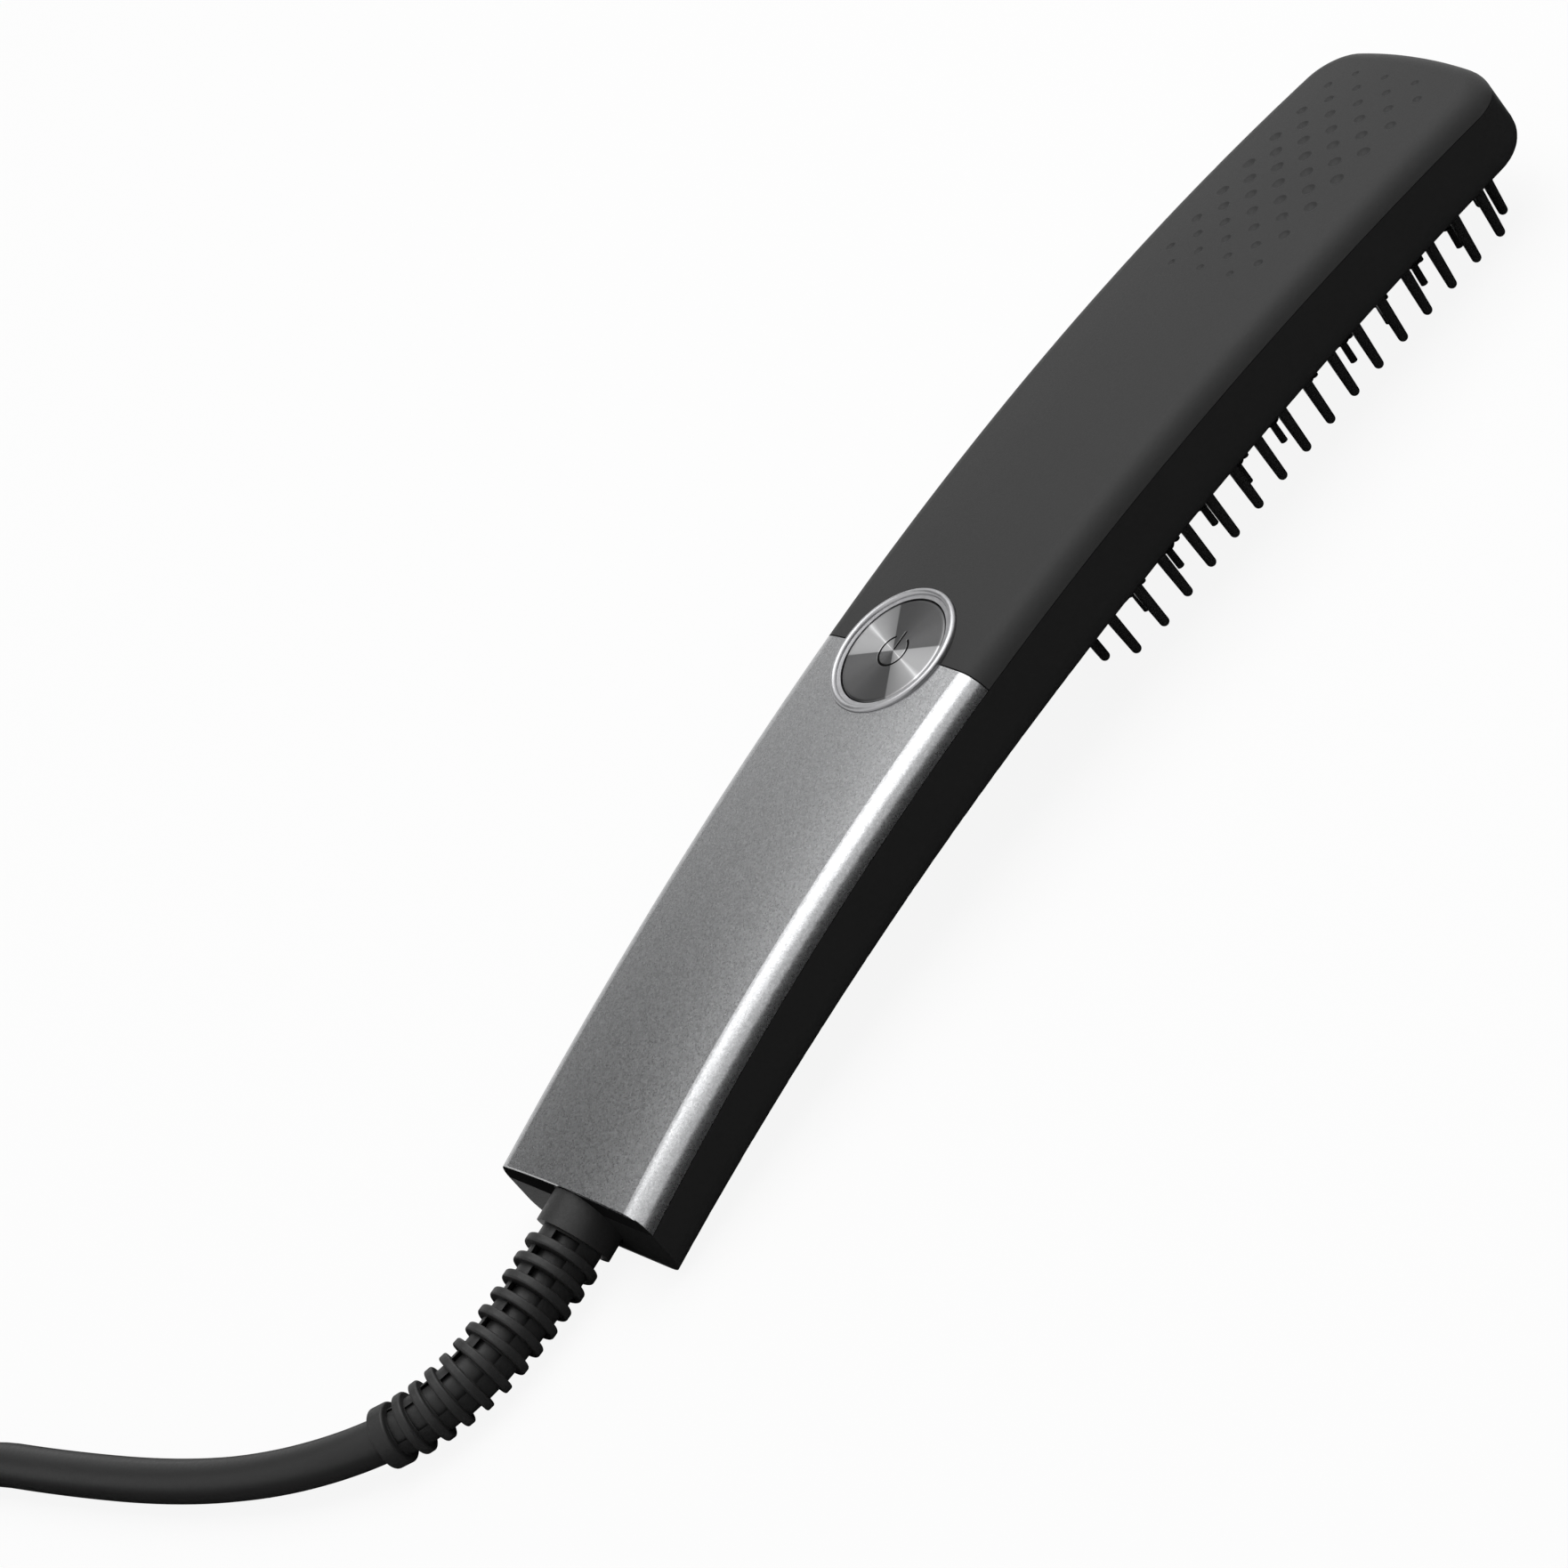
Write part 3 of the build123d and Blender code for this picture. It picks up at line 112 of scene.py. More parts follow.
# ---- stage ----
LENS = 161.02  # millimetres, on a sensor of 36
CAMERA_PLACE = (-0.3454, -0.8809, 0.6279)
CAMERA_RIGHT = (0.60946, -0.57564, -0.54516)
CAMERA_UP = (0.74563, 0.18249, 0.64088)
CAMERA_BACK = (-0.26943, -0.79708, 0.54044)
FLOOR_HALF = 6.0
FLOOR_Z = -0.0002
FLOOR_WHITE = 0.9  # share of white in what the camera and gloss see of the floor
WORLD_FILL = 0.3  # light from the world on matte surfaces
CARD_LEFT_X = -0.2  # where a card's left and right levels are reached
CARD_RIGHT_X = 0.5

# ---- colours ----
WHITE = (1, 1, 1, 1)
PALE = (0.9, 0.9, 0.9, 1)
STEEL = (0.6, 0.6, 0.61)
BARE_BLACK = (0.01, 0.01, 0.01)
MARK_BLACK = (0.008, 0.008, 0.008)
NOISE_RANGE = (0.3, 0.7)  # where most of a noise's values lie


# ---- node trees ----
def empty_tree(owner):
    """Node tree of a material or world, with nothing in it."""
    owner.use_nodes = True
    owner.node_tree.nodes.clear()
    return owner.node_tree


def feed(tree, socket, value):
    """Link an output to a socket, or set the socket to a plain value."""
    if isinstance(value, bpy.types.NodeSocket):
        tree.links.new(value, socket)
    else:
        socket.default_value = value


def node(tree, kind, **values):
    """Add a node; keys that name an input feed it, the others are attributes."""
    made = tree.nodes.new(kind)
    for key, value in values.items():
        if key in made.inputs:
            feed(tree, made.inputs[key], value)
        else:
            setattr(made, key, value)
    return made


def chain(tree, kind, result, *values, **settings):
    """Add a node whose sockets take the values in their order, and give one output of it."""
    made = node(tree, kind, **settings)
    for socket, value in zip(made.inputs, values):
        feed(tree, socket, value)
    return made.outputs[result]


def maths(tree, operation, *values):
    """Arithmetic on outputs and plain numbers."""
    return chain(tree, "ShaderNodeMath", "Value", *values, operation=operation)


def mix_shaders(tree, share, first, second):
    """Mix two shaders by a share from 0 to 1."""
    return chain(tree, "ShaderNodeMixShader", "Shader", share, first, second)


def blend_colours(tree, share, low, high, way="MIX"):
    """Mix two colours by a share from 0 to 1. Each colour is three numbers or an output."""
    low, high = ((*value, 1) if isinstance(value, tuple) else value for value in (low, high))
    made = node(tree, "ShaderNodeMix", data_type="RGBA", blend_type=way, Factor=share, A=low, B=high)
    return made.outputs["Result"]


def span(tree, value, low, high, start=0.0, end=1.0):
    """Map a value from start..end to low..high."""
    limits = {"From Min": start, "From Max": end, "To Min": low, "To Max": high}
    return node(tree, "ShaderNodeMapRange", Value=value, **limits).outputs["Result"]


def object_noise(tree, scale, detail=2.0, rough=0.5, stretch=(1, 1, 1)):
    """Noise over the piece's own coordinates, scale in cells per metre."""
    where = node(tree, "ShaderNodeTexCoord").outputs["Object"]
    place = node(tree, "ShaderNodeMapping", Vector=where, Scale=stretch).outputs["Vector"]
    noise = node(tree, "ShaderNodeTexNoise", Vector=place, Scale=scale, Detail=detail, Roughness=rough)
    return noise.outputs["Fac"]


def emboss(tree, shader, height, depth, strength=1.0):
    """Bump of that depth in metres from a height value of 0 to 1."""
    bump = node(tree, "ShaderNodeBump", Strength=strength, Distance=depth, Height=height)
    tree.links.new(bump.outputs["Normal"], shader.inputs["Normal"])


# ---- finishes ----
def new_finish(name):
    """Node material that holds its output and one Principled shader."""
    mat = bpy.data.materials.new(name)
    tree = empty_tree(mat)
    shader = node(tree, "ShaderNodeBsdfPrincipled")
    node(tree, "ShaderNodeOutputMaterial", Surface=shader.outputs["BSDF"])
    return mat, tree, shader


def grey(level):
    """Neutral colour of that level."""
    return (level, level, level)


def scaled(colour, share):
    """Colour times a share, up to 1."""
    return tuple(min(1.0, part * share) for part in colour)


def roughen(tree, shader, fine, rough, swing, depth):
    """Fine grain: the roughness swings about its level with the noise, and a bump follows it."""
    gloss = span(tree, fine, rough - swing, rough + swing, *NOISE_RANGE)
    tree.links.new(gloss, shader.inputs["Roughness"])
    emboss(tree, shader, fine, depth)


def moulded(name, level, rough, grain=2200.0, depth=0.00003, spec=0.4, drift=0.12):
    """Black moulding or rubber: fine grain in the surface and its gloss, a slow drift of colour."""
    mat, tree, shader = new_finish(name)
    fine = object_noise(tree, grain, 3.0, 0.6)
    slow = object_noise(tree, 60.0)
    colour = blend_colours(tree, slow, grey(level * (1 - drift)), grey(level * (1 + drift)))
    tree.links.new(colour, shader.inputs["Base Color"])
    roughen(tree, shader, fine, rough, 0.06, depth)
    shader.inputs["Specular IOR Level"].default_value = spec
    return mat


def coloured(name, colour, rough):
    """Plain coloured plastic with a fine grain."""
    mat, tree, shader = new_finish(name)
    fine = object_noise(tree, 1500.0, 3.0, 0.6)
    tree.links.new(blend_colours(tree, fine, scaled(colour, 0.85), colour), shader.inputs["Base Color"])
    roughen(tree, shader, fine, rough, 0.05, 0.00001)
    return mat


def metal(name, colour, rough, grain=900.0, stretch=(1, 1, 1)):
    """Plain metal with a faint drawn grain."""
    mat, tree, shader = new_finish(name)
    fine = object_noise(tree, grain, 4.0, 0.6, stretch)
    tree.links.new(blend_colours(tree, fine, scaled(colour, 0.9), colour), shader.inputs["Base Color"])
    roughen(tree, shader, fine, rough, 0.05, 0.00001)
    shader.inputs["Metallic"].default_value = 1.0
    return mat


def flake_paint(name, colour, rough):
    """Silver paint: cells a quarter of a millimetre wide that each lean and shine a little differently."""
    mat, tree, shader = new_finish(name)
    where = node(tree, "ShaderNodeTexCoord").outputs["Object"]
    cells = node(tree, "ShaderNodeTexVoronoi", Vector=where, Scale=4200.0)
    parts = node(tree, "ShaderNodeSeparateColor", Color=cells.outputs["Color"])
    painted = blend_colours(tree, parts.outputs["Red"], scaled(colour, 0.86), scaled(colour, 1.14))
    bare = bare_end(tree, where)
    tree.links.new(blend_colours(tree, bare, painted, BARE_BLACK), shader.inputs["Base Color"])
    tree.links.new(span(tree, bare, 0.9, 0.0), shader.inputs["Metallic"])
    gloss = span(tree, parts.outputs["Green"], rough - 0.05, rough + 0.05)
    tree.links.new(gloss, shader.inputs["Roughness"])
    emboss(tree, shader, parts.outputs["Blue"], 0.0000015)
    shader.inputs["Specular IOR Level"].default_value = 0.0
    return mat


def bare_end(tree, where):
    """1 on the cut end of the cover, more than half a millimetre under its top, where no paint goes.

    A point's level is its distance from the axis of the top's arc, plus its distance from the middle of
    the brush squared over twice the crown's radius. On the top the level is the top's radius."""
    parts = node(tree, "ShaderNodeSeparateXYZ", Vector=where)
    side = chain(tree, "ShaderNodeVectorMath", "Vector", where, (1, 0, 1), operation="MULTIPLY")
    axis = (CREST_X, 0, TOP_CENTRE_Z)
    apart = chain(tree, "ShaderNodeVectorMath", "Value", side, axis, operation="DISTANCE")
    square = maths(tree, "MULTIPLY", parts.outputs["Y"], parts.outputs["Y"])
    level = maths(tree, "MULTIPLY_ADD", square, 1 / (2 * CROWN_RADIUS), apart)
    lip = TOP_RADIUS - PAINT_LIP
    under = span(tree, level, 1.0, 0.0, lip - PAINT_FADE, lip)
    end = span(tree, parts.outputs["X"], 1.0, 0.0, TAIL_X + END_SKIN, TAIL_X + 2 * END_SKIN)
    return maths(tree, "MULTIPLY", under, end)


def spun(name, colour, rough, mark_colour):
    """Turned metal: round grooves, a highlight drawn out across them, a painted reflection of bright and dark
    sectors in its colour, and a dark engraved mark.
    """
    mat, tree, shader = new_finish(name)
    turned = node(tree, "ShaderNodeUVMap", uv_map=TURNED_MAP)
    parts = node(tree, "ShaderNodeSeparateXYZ", Vector=turned.outputs["UV"])
    across = maths(tree, "MULTIPLY", parts.outputs["Y"], GROOVES)
    lathe = node(tree, "ShaderNodeTexNoise", noise_dimensions="1D", W=across, Scale=1.0, Detail=3.0,
                 Roughness=0.7)
    rings = lathe.outputs["Fac"]
    # painted reflection in the base colour: bright sectors with highlight rays and darker dull sectors, fixed
    # round the face
    painted_sheen = painted_turned_sheen(tree, parts.outputs["X"], colour)
    lines = blend_colours(tree, rings, grey(0.85), grey(1.1))
    face = blend_colours(tree, 1.0, painted_sheen, lines, way="MULTIPLY")
    mark = node(tree, "ShaderNodeAttribute", attribute_name="mark").outputs["Fac"]
    tree.links.new(blend_colours(tree, mark, face, mark_colour), shader.inputs["Base Color"])
    tree.links.new(span(tree, mark, rough, 0.6), shader.inputs["Roughness"])
    tree.links.new(span(tree, mark, 1.0, 0.0), shader.inputs["Metallic"])
    emboss(tree, shader, rings, 0.000008, 0.6)
    along = node(tree, "ShaderNodeTangent", direction_type="UV_MAP", uv_map=TURNED_MAP)
    tree.links.new(along.outputs["Tangent"], shader.inputs["Tangent"])
    shader.inputs["Anisotropic"].default_value = 0.85
    shader.inputs["Anisotropic Rotation"].default_value = 0.25
    shader.inputs["Specular IOR Level"].default_value = 0.0
    return mat


def painted_turned_sheen(tree, around, colour):
    """Painted reflection in the colour round a turned face: two bright sectors, each with a brighter painted
    highlight ray, between two dull, darker ones.

    The share of the way round is doubled, so that both halves are alike, and its fraction is looked up."""
    twice = maths(tree, "MULTIPLY_ADD", around, 2.0, 1.0 - 2 * PAINTED_SHEEN_TURN / 360)
    ramp = node(tree, "ShaderNodeValToRGB", Fac=maths(tree, "FRACT", twice))
    marks = ramp.color_ramp.elements
    while len(marks) < len(PAINTED_SHEEN_STOPS):
        marks.new(0.5)
    for mark, (place, level) in zip(marks, PAINTED_SHEEN_STOPS):
        mark.position = place
        mark.color = (*scaled(colour, level), 1)
    return ramp.outputs["Color"]


def dress(names, material):
    """Give CAD nodes their finish."""
    for name in names:
        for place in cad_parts[name].material_slots:
            place.material = material


# ---- meshes and objects ----
def cell_corners(rows, columns, closed=False):
    """Corners of each cell of a grid, in order round it; closed joins the last column to the first."""
    index = np.arange(rows * columns).reshape(rows, columns)
    if closed:
        index = np.concatenate([index, index[:, :1]], axis=1)
    corners = (index[:-1, :-1], index[:-1, 1:], index[1:, 1:], index[1:, :-1])
    return np.stack(corners, axis=-1).reshape(-1, 4)


def grid_mesh(name, points, closed=False, uv=None, values=None):
    """Smooth mesh over a grid of points, rows by columns: each cell of the grid is one face.

    uv has a place for each point, and one more column where the grid is closed."""
    quads = cell_corners(*points.shape[:2], closed)
    mesh = bpy.data.meshes.new(name)
    mesh.from_pydata(points.reshape(-1, 3), [], quads)
    if uv is not None:
        spots = uv.reshape(-1, 2)[cell_corners(*uv.shape[:2]).reshape(-1)]
        layer = mesh.uv_layers.new(name=TURNED_MAP)
        layer.data.foreach_set("uv", spots.astype(np.float32).reshape(-1))
    for key, value in (values or {}).items():
        layer = mesh.attributes.new(key, "FLOAT", "POINT")
        layer.data.foreach_set("value", value.astype(np.float32).reshape(-1))
    mesh.polygons.foreach_set("use_smooth", np.ones(len(quads), bool))
    mesh.update()
    return mesh


def put(name, data):
    """Put data into the scene as an object."""
    made = bpy.data.objects.new(name, data)
    bpy.context.scene.collection.objects.link(made)
    return made


def add_piece(name, mesh, material, body):
    """Put a mesh into the scene as a piece that rides on a body."""
    mesh.materials.append(material)
    piece = put(name, mesh)
    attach(piece, body)
    return piece


# ---- properties ----
class BrushLooks(bpy.types.PropertyGroup):
    """Sizes and colours that a user may change"""

    cover_colour: bpy.props.FloatVectorProperty(
        name="Cover", description="Colour of the handle's cover", subtype="COLOR", size=3, min=0, max=1,
        default=(0.42, 0.423, 0.43))
    shell_level: bpy.props.FloatProperty(
        name="Shell", description="How light the black top of the head is", min=0, max=1, default=0.037)
    cord_length: bpy.props.FloatProperty(
        name="Cord", description="Length of the cord", subtype="DISTANCE", unit="LENGTH", default=1.7)
    mark_radius: bpy.props.FloatProperty(
        name="Power mark", description="Radius of the ring of the power mark", subtype="DISTANCE",
        unit="LENGTH", default=0.0029)


# ---- stage ----
def turned_to(right, up, back, place):
    """Matrix that turns an object's axes to three directions and moves it to a place."""
    turn = Matrix((right, up, back)).transposed().to_4x4()
    turn.translation = place
    return turn


def make_camera(scene):
    """Long lens above the brush's side, a little behind its handle."""
    data = bpy.data.cameras.new("camera")
    data.sensor_width = 36.0
    data.lens = LENS
    data.clip_start = 0.05
    camera = put("camera", data)
    camera.matrix_world = turned_to(CAMERA_RIGHT, CAMERA_UP, CAMERA_BACK, CAMERA_PLACE)
    scene.camera = camera


def white_rays(tree):
    """1 for rays that see the background as it is: from the camera, off gloss and through glass."""
    path = node(tree, "ShaderNodeLightPath").outputs
    first = maths(tree, "MAXIMUM", path["Is Camera Ray"], path["Is Glossy Ray"])
    return maths(tree, "MAXIMUM", first, path["Is Transmission Ray"])


def make_world(scene):
    """World that is white where it is seen and a weak fill elsewhere."""
    world = bpy.data.worlds.new("studio")
    scene.world = world
    tree = empty_tree(world)
    seen = node(tree, "ShaderNodeBackground", Color=WHITE, Strength=1.0).outputs["Background"]
    fill = node(tree, "ShaderNodeBackground", Color=WHITE, Strength=WORLD_FILL).outputs["Background"]
    node(tree, "ShaderNodeOutputWorld", Surface=mix_shaders(tree, white_rays(tree), fill, seen))


def make_floor():
    """Pale floor: mostly plain white where it is seen, so that only a faint shadow shows."""
    side = 2 * FLOOR_HALF
    mesh = grid_mesh("floor", card_points((-FLOOR_HALF, -FLOOR_HALF, 0), (side, 0, 0), (0, side, 0)))
    floor = put("floor", mesh)
    mat = bpy.data.materials.new("pale_floor")
    tree = empty_tree(mat)
    matte = node(tree, "ShaderNodeBsdfDiffuse", Color=PALE).outputs["BSDF"]
    glow = node(tree, "ShaderNodeEmission", Color=WHITE, Strength=1.0).outputs["Emission"]
    share = maths(tree, "MULTIPLY", white_rays(tree), FLOOR_WHITE)
    node(tree, "ShaderNodeOutputMaterial", Surface=mix_shaders(tree, share, matte, glow))
    mesh.materials.append(mat)
    floor.location.z = FLOOR_Z


def softbox(name, place, target, width, height, power):
    """Rectangular area lamp that faces a point."""
    data = bpy.data.lights.new(name, "AREA")
    data.shape = "RECTANGLE"
    data.size = width
    data.size_y = height
    data.energy = power
    away = np.array(place, float) - np.array(target, float)
    away /= np.linalg.norm(away)
    side = np.cross((0, 0, 1), away)
    side /= np.linalg.norm(side)
    put(name, data).matrix_world = turned_to(side, np.cross(away, side), away, place)


def card_points(corner, along, up):
    """Corners of a flat card, from one corner and its two sides."""
    corner, along, up = (np.array(value, float) for value in (corner, along, up))
    return np.array([[corner, corner + along], [corner + up, corner + along + up]])


def card(name, points, left, right):
    """Studio card that only shiny faces see, whose grey runs from left to right between two levels."""
    mat = bpy.data.materials.new(name)
    tree = empty_tree(mat)
    where = node(tree, "ShaderNodeTexCoord").outputs["Object"]
    along = node(tree, "ShaderNodeSeparateXYZ", Vector=where).outputs["X"]
    level = span(tree, along, left, right, CARD_LEFT_X, CARD_RIGHT_X)
    glow = node(tree, "ShaderNodeEmission", Color=WHITE, Strength=level)
    node(tree, "ShaderNodeOutputMaterial", Surface=glow.outputs["Emission"])
    made = put(name, grid_mesh(name, points))
    made.data.materials.append(mat)
    made.visible_camera = False
    made.visible_diffuse = False
    made.visible_shadow = False
    made.visible_transmission = False


def make_lamps():
    """One soft lamp overhead, and the cards that gloss sees: on the floor, under the cord, in front, behind."""
    softbox("lamp_top", place=(0.36, 0.1, 1.12), target=(0.0, 0.0, 0.02), width=1.25, height=1.2, power=12.0)
    floor_card = card_points(corner=(-0.9, -1.2, 0.0004), along=(2.0, 0.0, 0.0), up=(0.0, 1.2, 0.0))
    cord_card = card_points(corner=(-0.9, 0.0, 0.0004), along=(0.77, 0.0, 0.0), up=(0.0, 0.2, 0.0))
    front_card = card_points(corner=(-0.6, -0.6, 0.0), along=(1.8, 0.0, 0.0), up=(0.0, 0.0, 0.30))
    back_card = card_points(corner=(-0.9, 1.2, 0.4), along=(2.6, 0.0, 0.0), up=(0.0, 0.0, 1.2))
    card("card_floor", floor_card, left=0.0, right=0.0)
    card("card_cord", cord_card, left=0.0, right=0.0)
    card("card_front", front_card, left=0.04, right=0.04)
    card("card_back", back_card, left=0.04, right=0.78)


class BRUSH_OT_stage(bpy.types.Operator):
    """Make the camera, the lamps, the world and the floor"""

    bl_idname = "brush.stage"
    bl_label = "Stage"

    def execute(self, context):
        scene = context.scene
        scene.view_settings.view_transform = "Standard"
        make_camera(scene)
        make_world(scene)
        make_floor()
        make_lamps()
        return {"FINISHED"}


# ---- cord ----
def cord_route():
    """Corners of the cord's line: out of the swivel, along the table, round the coil and on to the plug.

    The coil starts where its circle heads the way that the lie ends, and its angle grows evenly. It is
    wound on two layers: inwards on the upper one, and then back out on the lower one. Its radius is the
    outer one less a diameter for each place inwards. A turn moves to the next place over its last part.
    The corners stand a little outside the turns, because the line cuts inside them."""
    lie = np.array((
        SWIVEL - 0.006 * SWIVEL_OUT,
        SWIVEL + 0.0046 * SWIVEL_OUT,
        (-0.1360, -0.0010, 0.0061),
        (-0.1490, -0.0010, 0.0058),
        (-0.1605, 0.0034, 0.0056),
        (-0.1702, 0.0132, 0.0054),
        (-0.1792, 0.0290, 0.0045),
        (-0.1865, 0.0490, 0.0038),
        (-0.1930, 0.0740, 0.0038),
        (-0.1980, 0.0980, 0.0038),
        (-0.2115, 0.1160, 0.0038),
        (-0.2350, 0.1265, 0.0050),
        (-0.2640, 0.1300, 0.0095),
        (-0.2940, 0.1290, COIL_FLOOR + 1.5 * CORD_D),
    ))
    heading = lie[-1, :2] - lie[-2, :2]
    heading /= np.linalg.norm(heading)
    low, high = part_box("cord_coil")
    centre = np.array(((low[0] + high[0]) / 2, (low[1] + high[1]) / 2))
    outer = (high[1] - low[1]) / 2 - CORD_D / 2
    start = math.atan2(-heading[0], heading[1])
    sweep = (COIL_EXIT - start) % (2 * math.pi) + COIL_TURNS * 2 * math.pi
    turned = np.arange(1, round(sweep / COIL_STEP)) * COIL_STEP
    turns = turned / (2 * math.pi)
    whole = np.floor(turns)
    slot = whole + np.clip((turns - whole - (1 - STEP_SHARE)) / STEP_SHARE, 0, 1)
    inward = np.minimum(slot, COIL_WIDE - 1) - np.clip(slot - COIL_WIDE, 0, COIL_WIDE - 1)
    layer = np.clip(slot - (COIL_WIDE - 1), 0, 1)
    radius = (outer - inward * CORD_D) / LINE_SHARE
    coil = np.stack([
        centre[0] + radius * np.cos(start + turned),
        centre[1] + radius * np.sin(start + turned),
        COIL_FLOOR + (1.5 - layer) * CORD_D,
    ], axis=1)
    leave = centre + outer * np.array((math.cos(COIL_EXIT), math.sin(COIL_EXIT)))
    ahead = np.array((-math.sin(COIL_EXIT), math.cos(COIL_EXIT)))
    rise = COIL_FLOOR + CORD_D / 2 - PLUG_AXIS
    run = np.array([
        (*(leave + ahead * PLUG_RUN * share), PLUG_AXIS + (1 - share) * rise)
        for share in RUN_SHARES
    ])
    return np.concatenate([lie, coil, run])


class BRUSH_OT_cord(bpy.types.Operator):
    """Make the cord along its route, with its coil"""

    bl_idname = "brush.cord"
    bl_label = "Cord"

    def execute(self, context):
        route = cord_route()
        line = bpy.data.curves.new("mains_cord", "CURVE")
        line.dimensions = "3D"
        line.bevel_depth = CORD_D / 2
        line.bevel_resolution = 5
        line.resolution_u = 8
        line.use_fill_caps = True
        spline = line.splines.new("NURBS")
        spline.points.add(len(route) - 1)
        spline.points.foreach_set("co", np.c_[route, np.ones(len(route))].reshape(-1))
        spline.order_u = 3
        spline.use_endpoint_u = True
        jacket = moulded("cord_jacket", 0.024, rough=0.45, grain=1500.0, depth=0.00002, spec=0.3)
        line.materials.append(jacket)
        cord = put("mains_cord", line)
        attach(cord, "swivel")
        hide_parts("cord", "cord_coil")
        return {"FINISHED"}


# ---- button ----
def button_points(mark_radius):
    """Cap of the button: a flat turned face, a rounded edge and a skirt, round an axis square to the top.

    Radius and height follow the profile. The face sinks in a groove wherever the distance to the power
    mark, a broken ring with a bar, is under half the mark's width. Gives the points, how deep in the mark
    each one is, from 0 to 1, and its place round and across the face."""
    face = np.concatenate([np.linspace(*FINE_RINGS), np.linspace(*WIDE_RINGS), [FACE_RADIUS]])
    edge_turn = np.linspace(0, math.pi / 2, 6)[1:]
    edge_r = FACE_RADIUS + EDGE_ROUND * np.sin(edge_turn)
    edge_z = FACE_Z - EDGE_ROUND * (1 - np.cos(edge_turn))
    radius = np.concatenate([face, edge_r, np.full(len(SKIRT_Z), FACE_RADIUS + EDGE_ROUND)])
    height = np.concatenate([np.full(len(face), FACE_Z), edge_z, SKIRT_Z])
    turn = np.linspace(0, 2 * math.pi, 360, endpoint=False)
    r, a = np.meshgrid(radius, turn, indexing="ij")
    x = r * np.cos(a)
    y = r * np.sin(a)
    bearing = np.abs((a + math.pi) % (2 * math.pi) - math.pi)
    end_x = mark_radius * math.cos(MARK_OPENING)
    end_y = mark_radius * math.sin(MARK_OPENING)
    off_end = np.hypot(x - end_x, np.abs(y) - end_y)
    off_ring = np.where(bearing > MARK_OPENING, np.abs(r - mark_radius), off_end)
    off_bar = np.hypot(x - np.clip(x, BAR_START, BAR_END * mark_radius), y)
    away = np.minimum(off_ring, off_bar)
    mark = 1 - np.clip((away - MARK_HALF) / MARK_SLOPE, 0, 1)
    z = height[:, None] - MARK_DEPTH * mark
    place = np.stack([
        BUTTON_ORIGIN[0] + x * math.cos(BUTTON_TILT) + z * math.sin(BUTTON_TILT),
        BUTTON_ORIGIN[1] + y,
        BUTTON_ORIGIN[2] - x * math.sin(BUTTON_TILT) + z * math.cos(BUTTON_TILT),
    ], axis=-1)
    around = np.linspace(0, 1, len(turn) + 1)
    uv = np.stack(np.meshgrid(radius * 100, around, indexing="ij")[::-1], axis=-1)
    return place, mark, uv


class BRUSH_OT_button(bpy.types.Operator):
    """Make the turned cap of the power button with its mark, and finish its ring"""

    bl_idname = "brush.button"
    bl_label = "Power button"

    def execute(self, context):
        looks = context.scene.brush_looks
        place, mark, uv = button_points(looks.mark_radius)
        mesh = grid_mesh("button_cap", place, closed=True, uv=uv, values={"mark": mark})
        metal_face = spun("spun_metal", (0.41, 0.41, 0.415), 0.3, MARK_BLACK)
        cap = add_piece("button_cap", mesh, metal_face, "button")
        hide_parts("power_button")
        dress(("button_bezel",), metal("bezel_metal", (0.42, 0.42, 0.43), 0.38))
        return {"FINISHED"}


# ---- shells, comb and the rest ----
class BRUSH_OT_shells(bpy.types.Operator):
    """Finish the shells of the body"""

    bl_idname = "brush.shells"
    bl_label = "Shells"

    def execute(self, context):
        looks = context.scene.brush_looks
        shell = {"grain": 3500.0, "depth": 0.00002, "drift": 0.05}
        dress(("top_shell",), moulded("soft_touch", looks.shell_level, rough=0.55, spec=0.15, **shell))
        dress(("lower_shell",), moulded("lower_black", 0.017, rough=0.5, spec=0.04, **shell))
        dress(("handle_cover",), flake_paint("silver_paint", tuple(looks.cover_colour), 0.3))
        dress(("shell_screws",), metal("screw_steel", STEEL, 0.3))
        dress(("filler_stopper",), moulded("stopper_rubber", 0.018, rough=0.6))
        return {"FINISHED"}


class BRUSH_OT_comb(bpy.types.Operator):
    """Finish the comb, its bristles and the heated plate"""

    bl_idname = "brush.comb"
    bl_label = "Comb and plate"

    def execute(self, context):
        dress(("edge_comb",), moulded("comb_black", 0.008, rough=0.4, spec=0.25))
        dress(("edge_bristles", "cool_tips"),
              moulded("bristle_black", 0.013, rough=0.3, grain=2500.0, depth=0.00001, spec=0.5))
        dress(("comb_screws",), metal("dark_screw", (0.08, 0.08, 0.085), 0.4))
        dress(("heater_plate",),
              moulded("plate_coating", 0.008, rough=0.18, grain=3000.0, depth=0.000006, spec=0.35))
        return {"FINISHED"}


class BRUSH_OT_leads(bpy.types.Operator):
    """Finish the strain relief, the swivel, the tie and the plug"""

    bl_idname = "brush.leads"
    bl_label = "Relief, swivel and plug"

    def execute(self, context):
        dress(("strain_relief",),
              moulded("relief_rubber", 0.022, rough=0.5, grain=1800.0, depth=0.00004, spec=0.3))
        dress(("cord_tie",), moulded("tie_rubber", 0.02, rough=0.6))
        dress(("swivel_shaft",), moulded("shaft_black", 0.02, rough=0.5))
        dress(("plug_body",), moulded("plug_black", 0.02, rough=0.5))
        dress(("plug_pins",), metal("nickel", (0.72, 0.7, 0.66), 0.2))
        return {"FINISHED"}


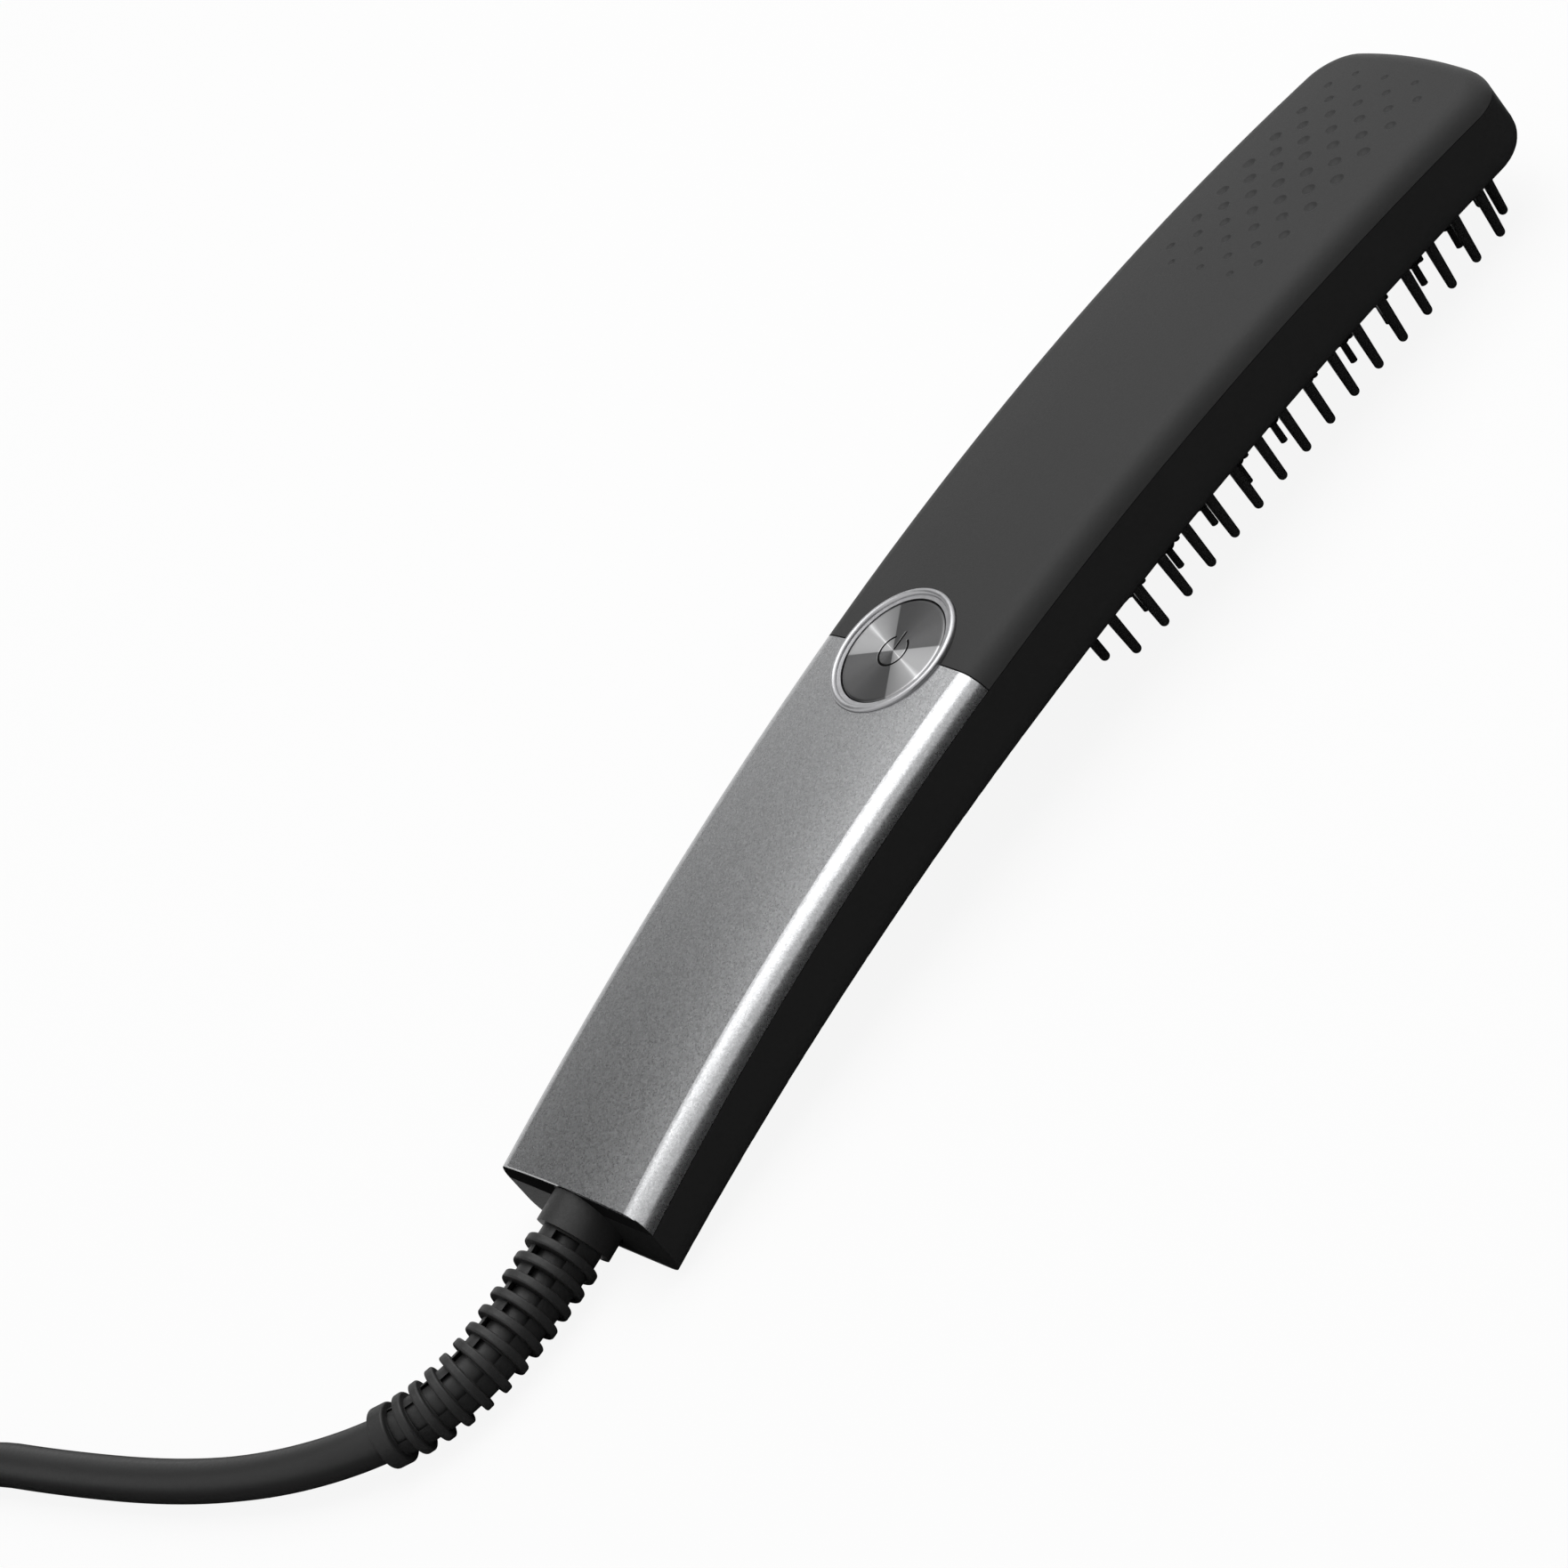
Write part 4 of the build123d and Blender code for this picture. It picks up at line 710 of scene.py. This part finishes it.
COLOURED_PARTS = (  # nodes, finish, colour and roughness
    (("main_board",), "solder_mask", (0.02, 0.16, 0.06), 0.35),
    (("film_capacitor",), "capacitor_case", (0.7, 0.45, 0.06), 0.35),
    (("terminal_block",), "terminal_case", (0.05, 0.3, 0.1), 0.5),
    (("ptc_heaters",), "ceramic", (0.75, 0.72, 0.66), 0.6),
    (("insulation_pad",), "film", (0.5, 0.25, 0.03), 0.3),
    (("water_tank", "steam_nozzle"), "tank_plastic", (0.7, 0.74, 0.76), 0.4),
    (("steam_tube", "heater_leads", "mains_leads"), "silicone", (0.75, 0.75, 0.72), 0.5),
    (("swivel_bush", "contact_block"), "acetal", (0.78, 0.78, 0.76), 0.45),
)


class BRUSH_OT_inside(bpy.types.Operator):
    """Finish what the shells hold"""

    bl_idname = "brush.inside"
    bl_label = "Inner parts"

    def execute(self, context):
        dress(("tact_switch", "switch_plunger", "triac", "thermistor"),
              moulded("part_black", 0.03, rough=0.5))
        dress(("board_screws", "heater_clamp", "clamp_screws", "thermal_fuse"),
              metal("spring_steel", STEEL, 0.3, grain=600.0, stretch=(1, 8, 1)))
        dress(("slip_rings", "contact_springs"), metal("brass", (0.72, 0.52, 0.22), 0.25))
        for names, finish, colour, rough in COLOURED_PARTS:
            dress(names, coloured(finish, colour, rough))
        return {"FINISHED"}


# ---- panel ----
STEPS = (
    BRUSH_OT_stage,
    BRUSH_OT_cord,
    BRUSH_OT_button,
    BRUSH_OT_shells,
    BRUSH_OT_comb,
    BRUSH_OT_leads,
    BRUSH_OT_inside,
)


class BRUSH_PT_panel(bpy.types.Panel):
    """Sizes, colours and steps of the brush"""

    bl_idname = "BRUSH_PT_panel"
    bl_label = "Straightener brush"
    bl_space_type = "VIEW_3D"
    bl_region_type = "UI"
    bl_category = "Brush"

    def draw(self, context):
        looks = context.scene.brush_looks
        for name in ("cover_colour", "shell_level", "cord_length", "mark_radius"):
            self.layout.prop(looks, name)
        for step in STEPS:
            self.layout.operator(step.bl_idname)


CLASSES = (BrushLooks, *STEPS, BRUSH_PT_panel)


def register():
    for made in CLASSES:
        bpy.utils.register_class(made)
    bpy.types.Scene.brush_looks = bpy.props.PointerProperty(type=BrushLooks)


def unregister():
    del bpy.types.Scene.brush_looks
    for made in reversed(CLASSES):
        bpy.utils.unregister_class(made)


def main():
    register()
    for step in STEPS:
        group, name = step.bl_idname.split(".")
        getattr(getattr(bpy.ops, group), name)()


if __name__ == "__main__":
    main()
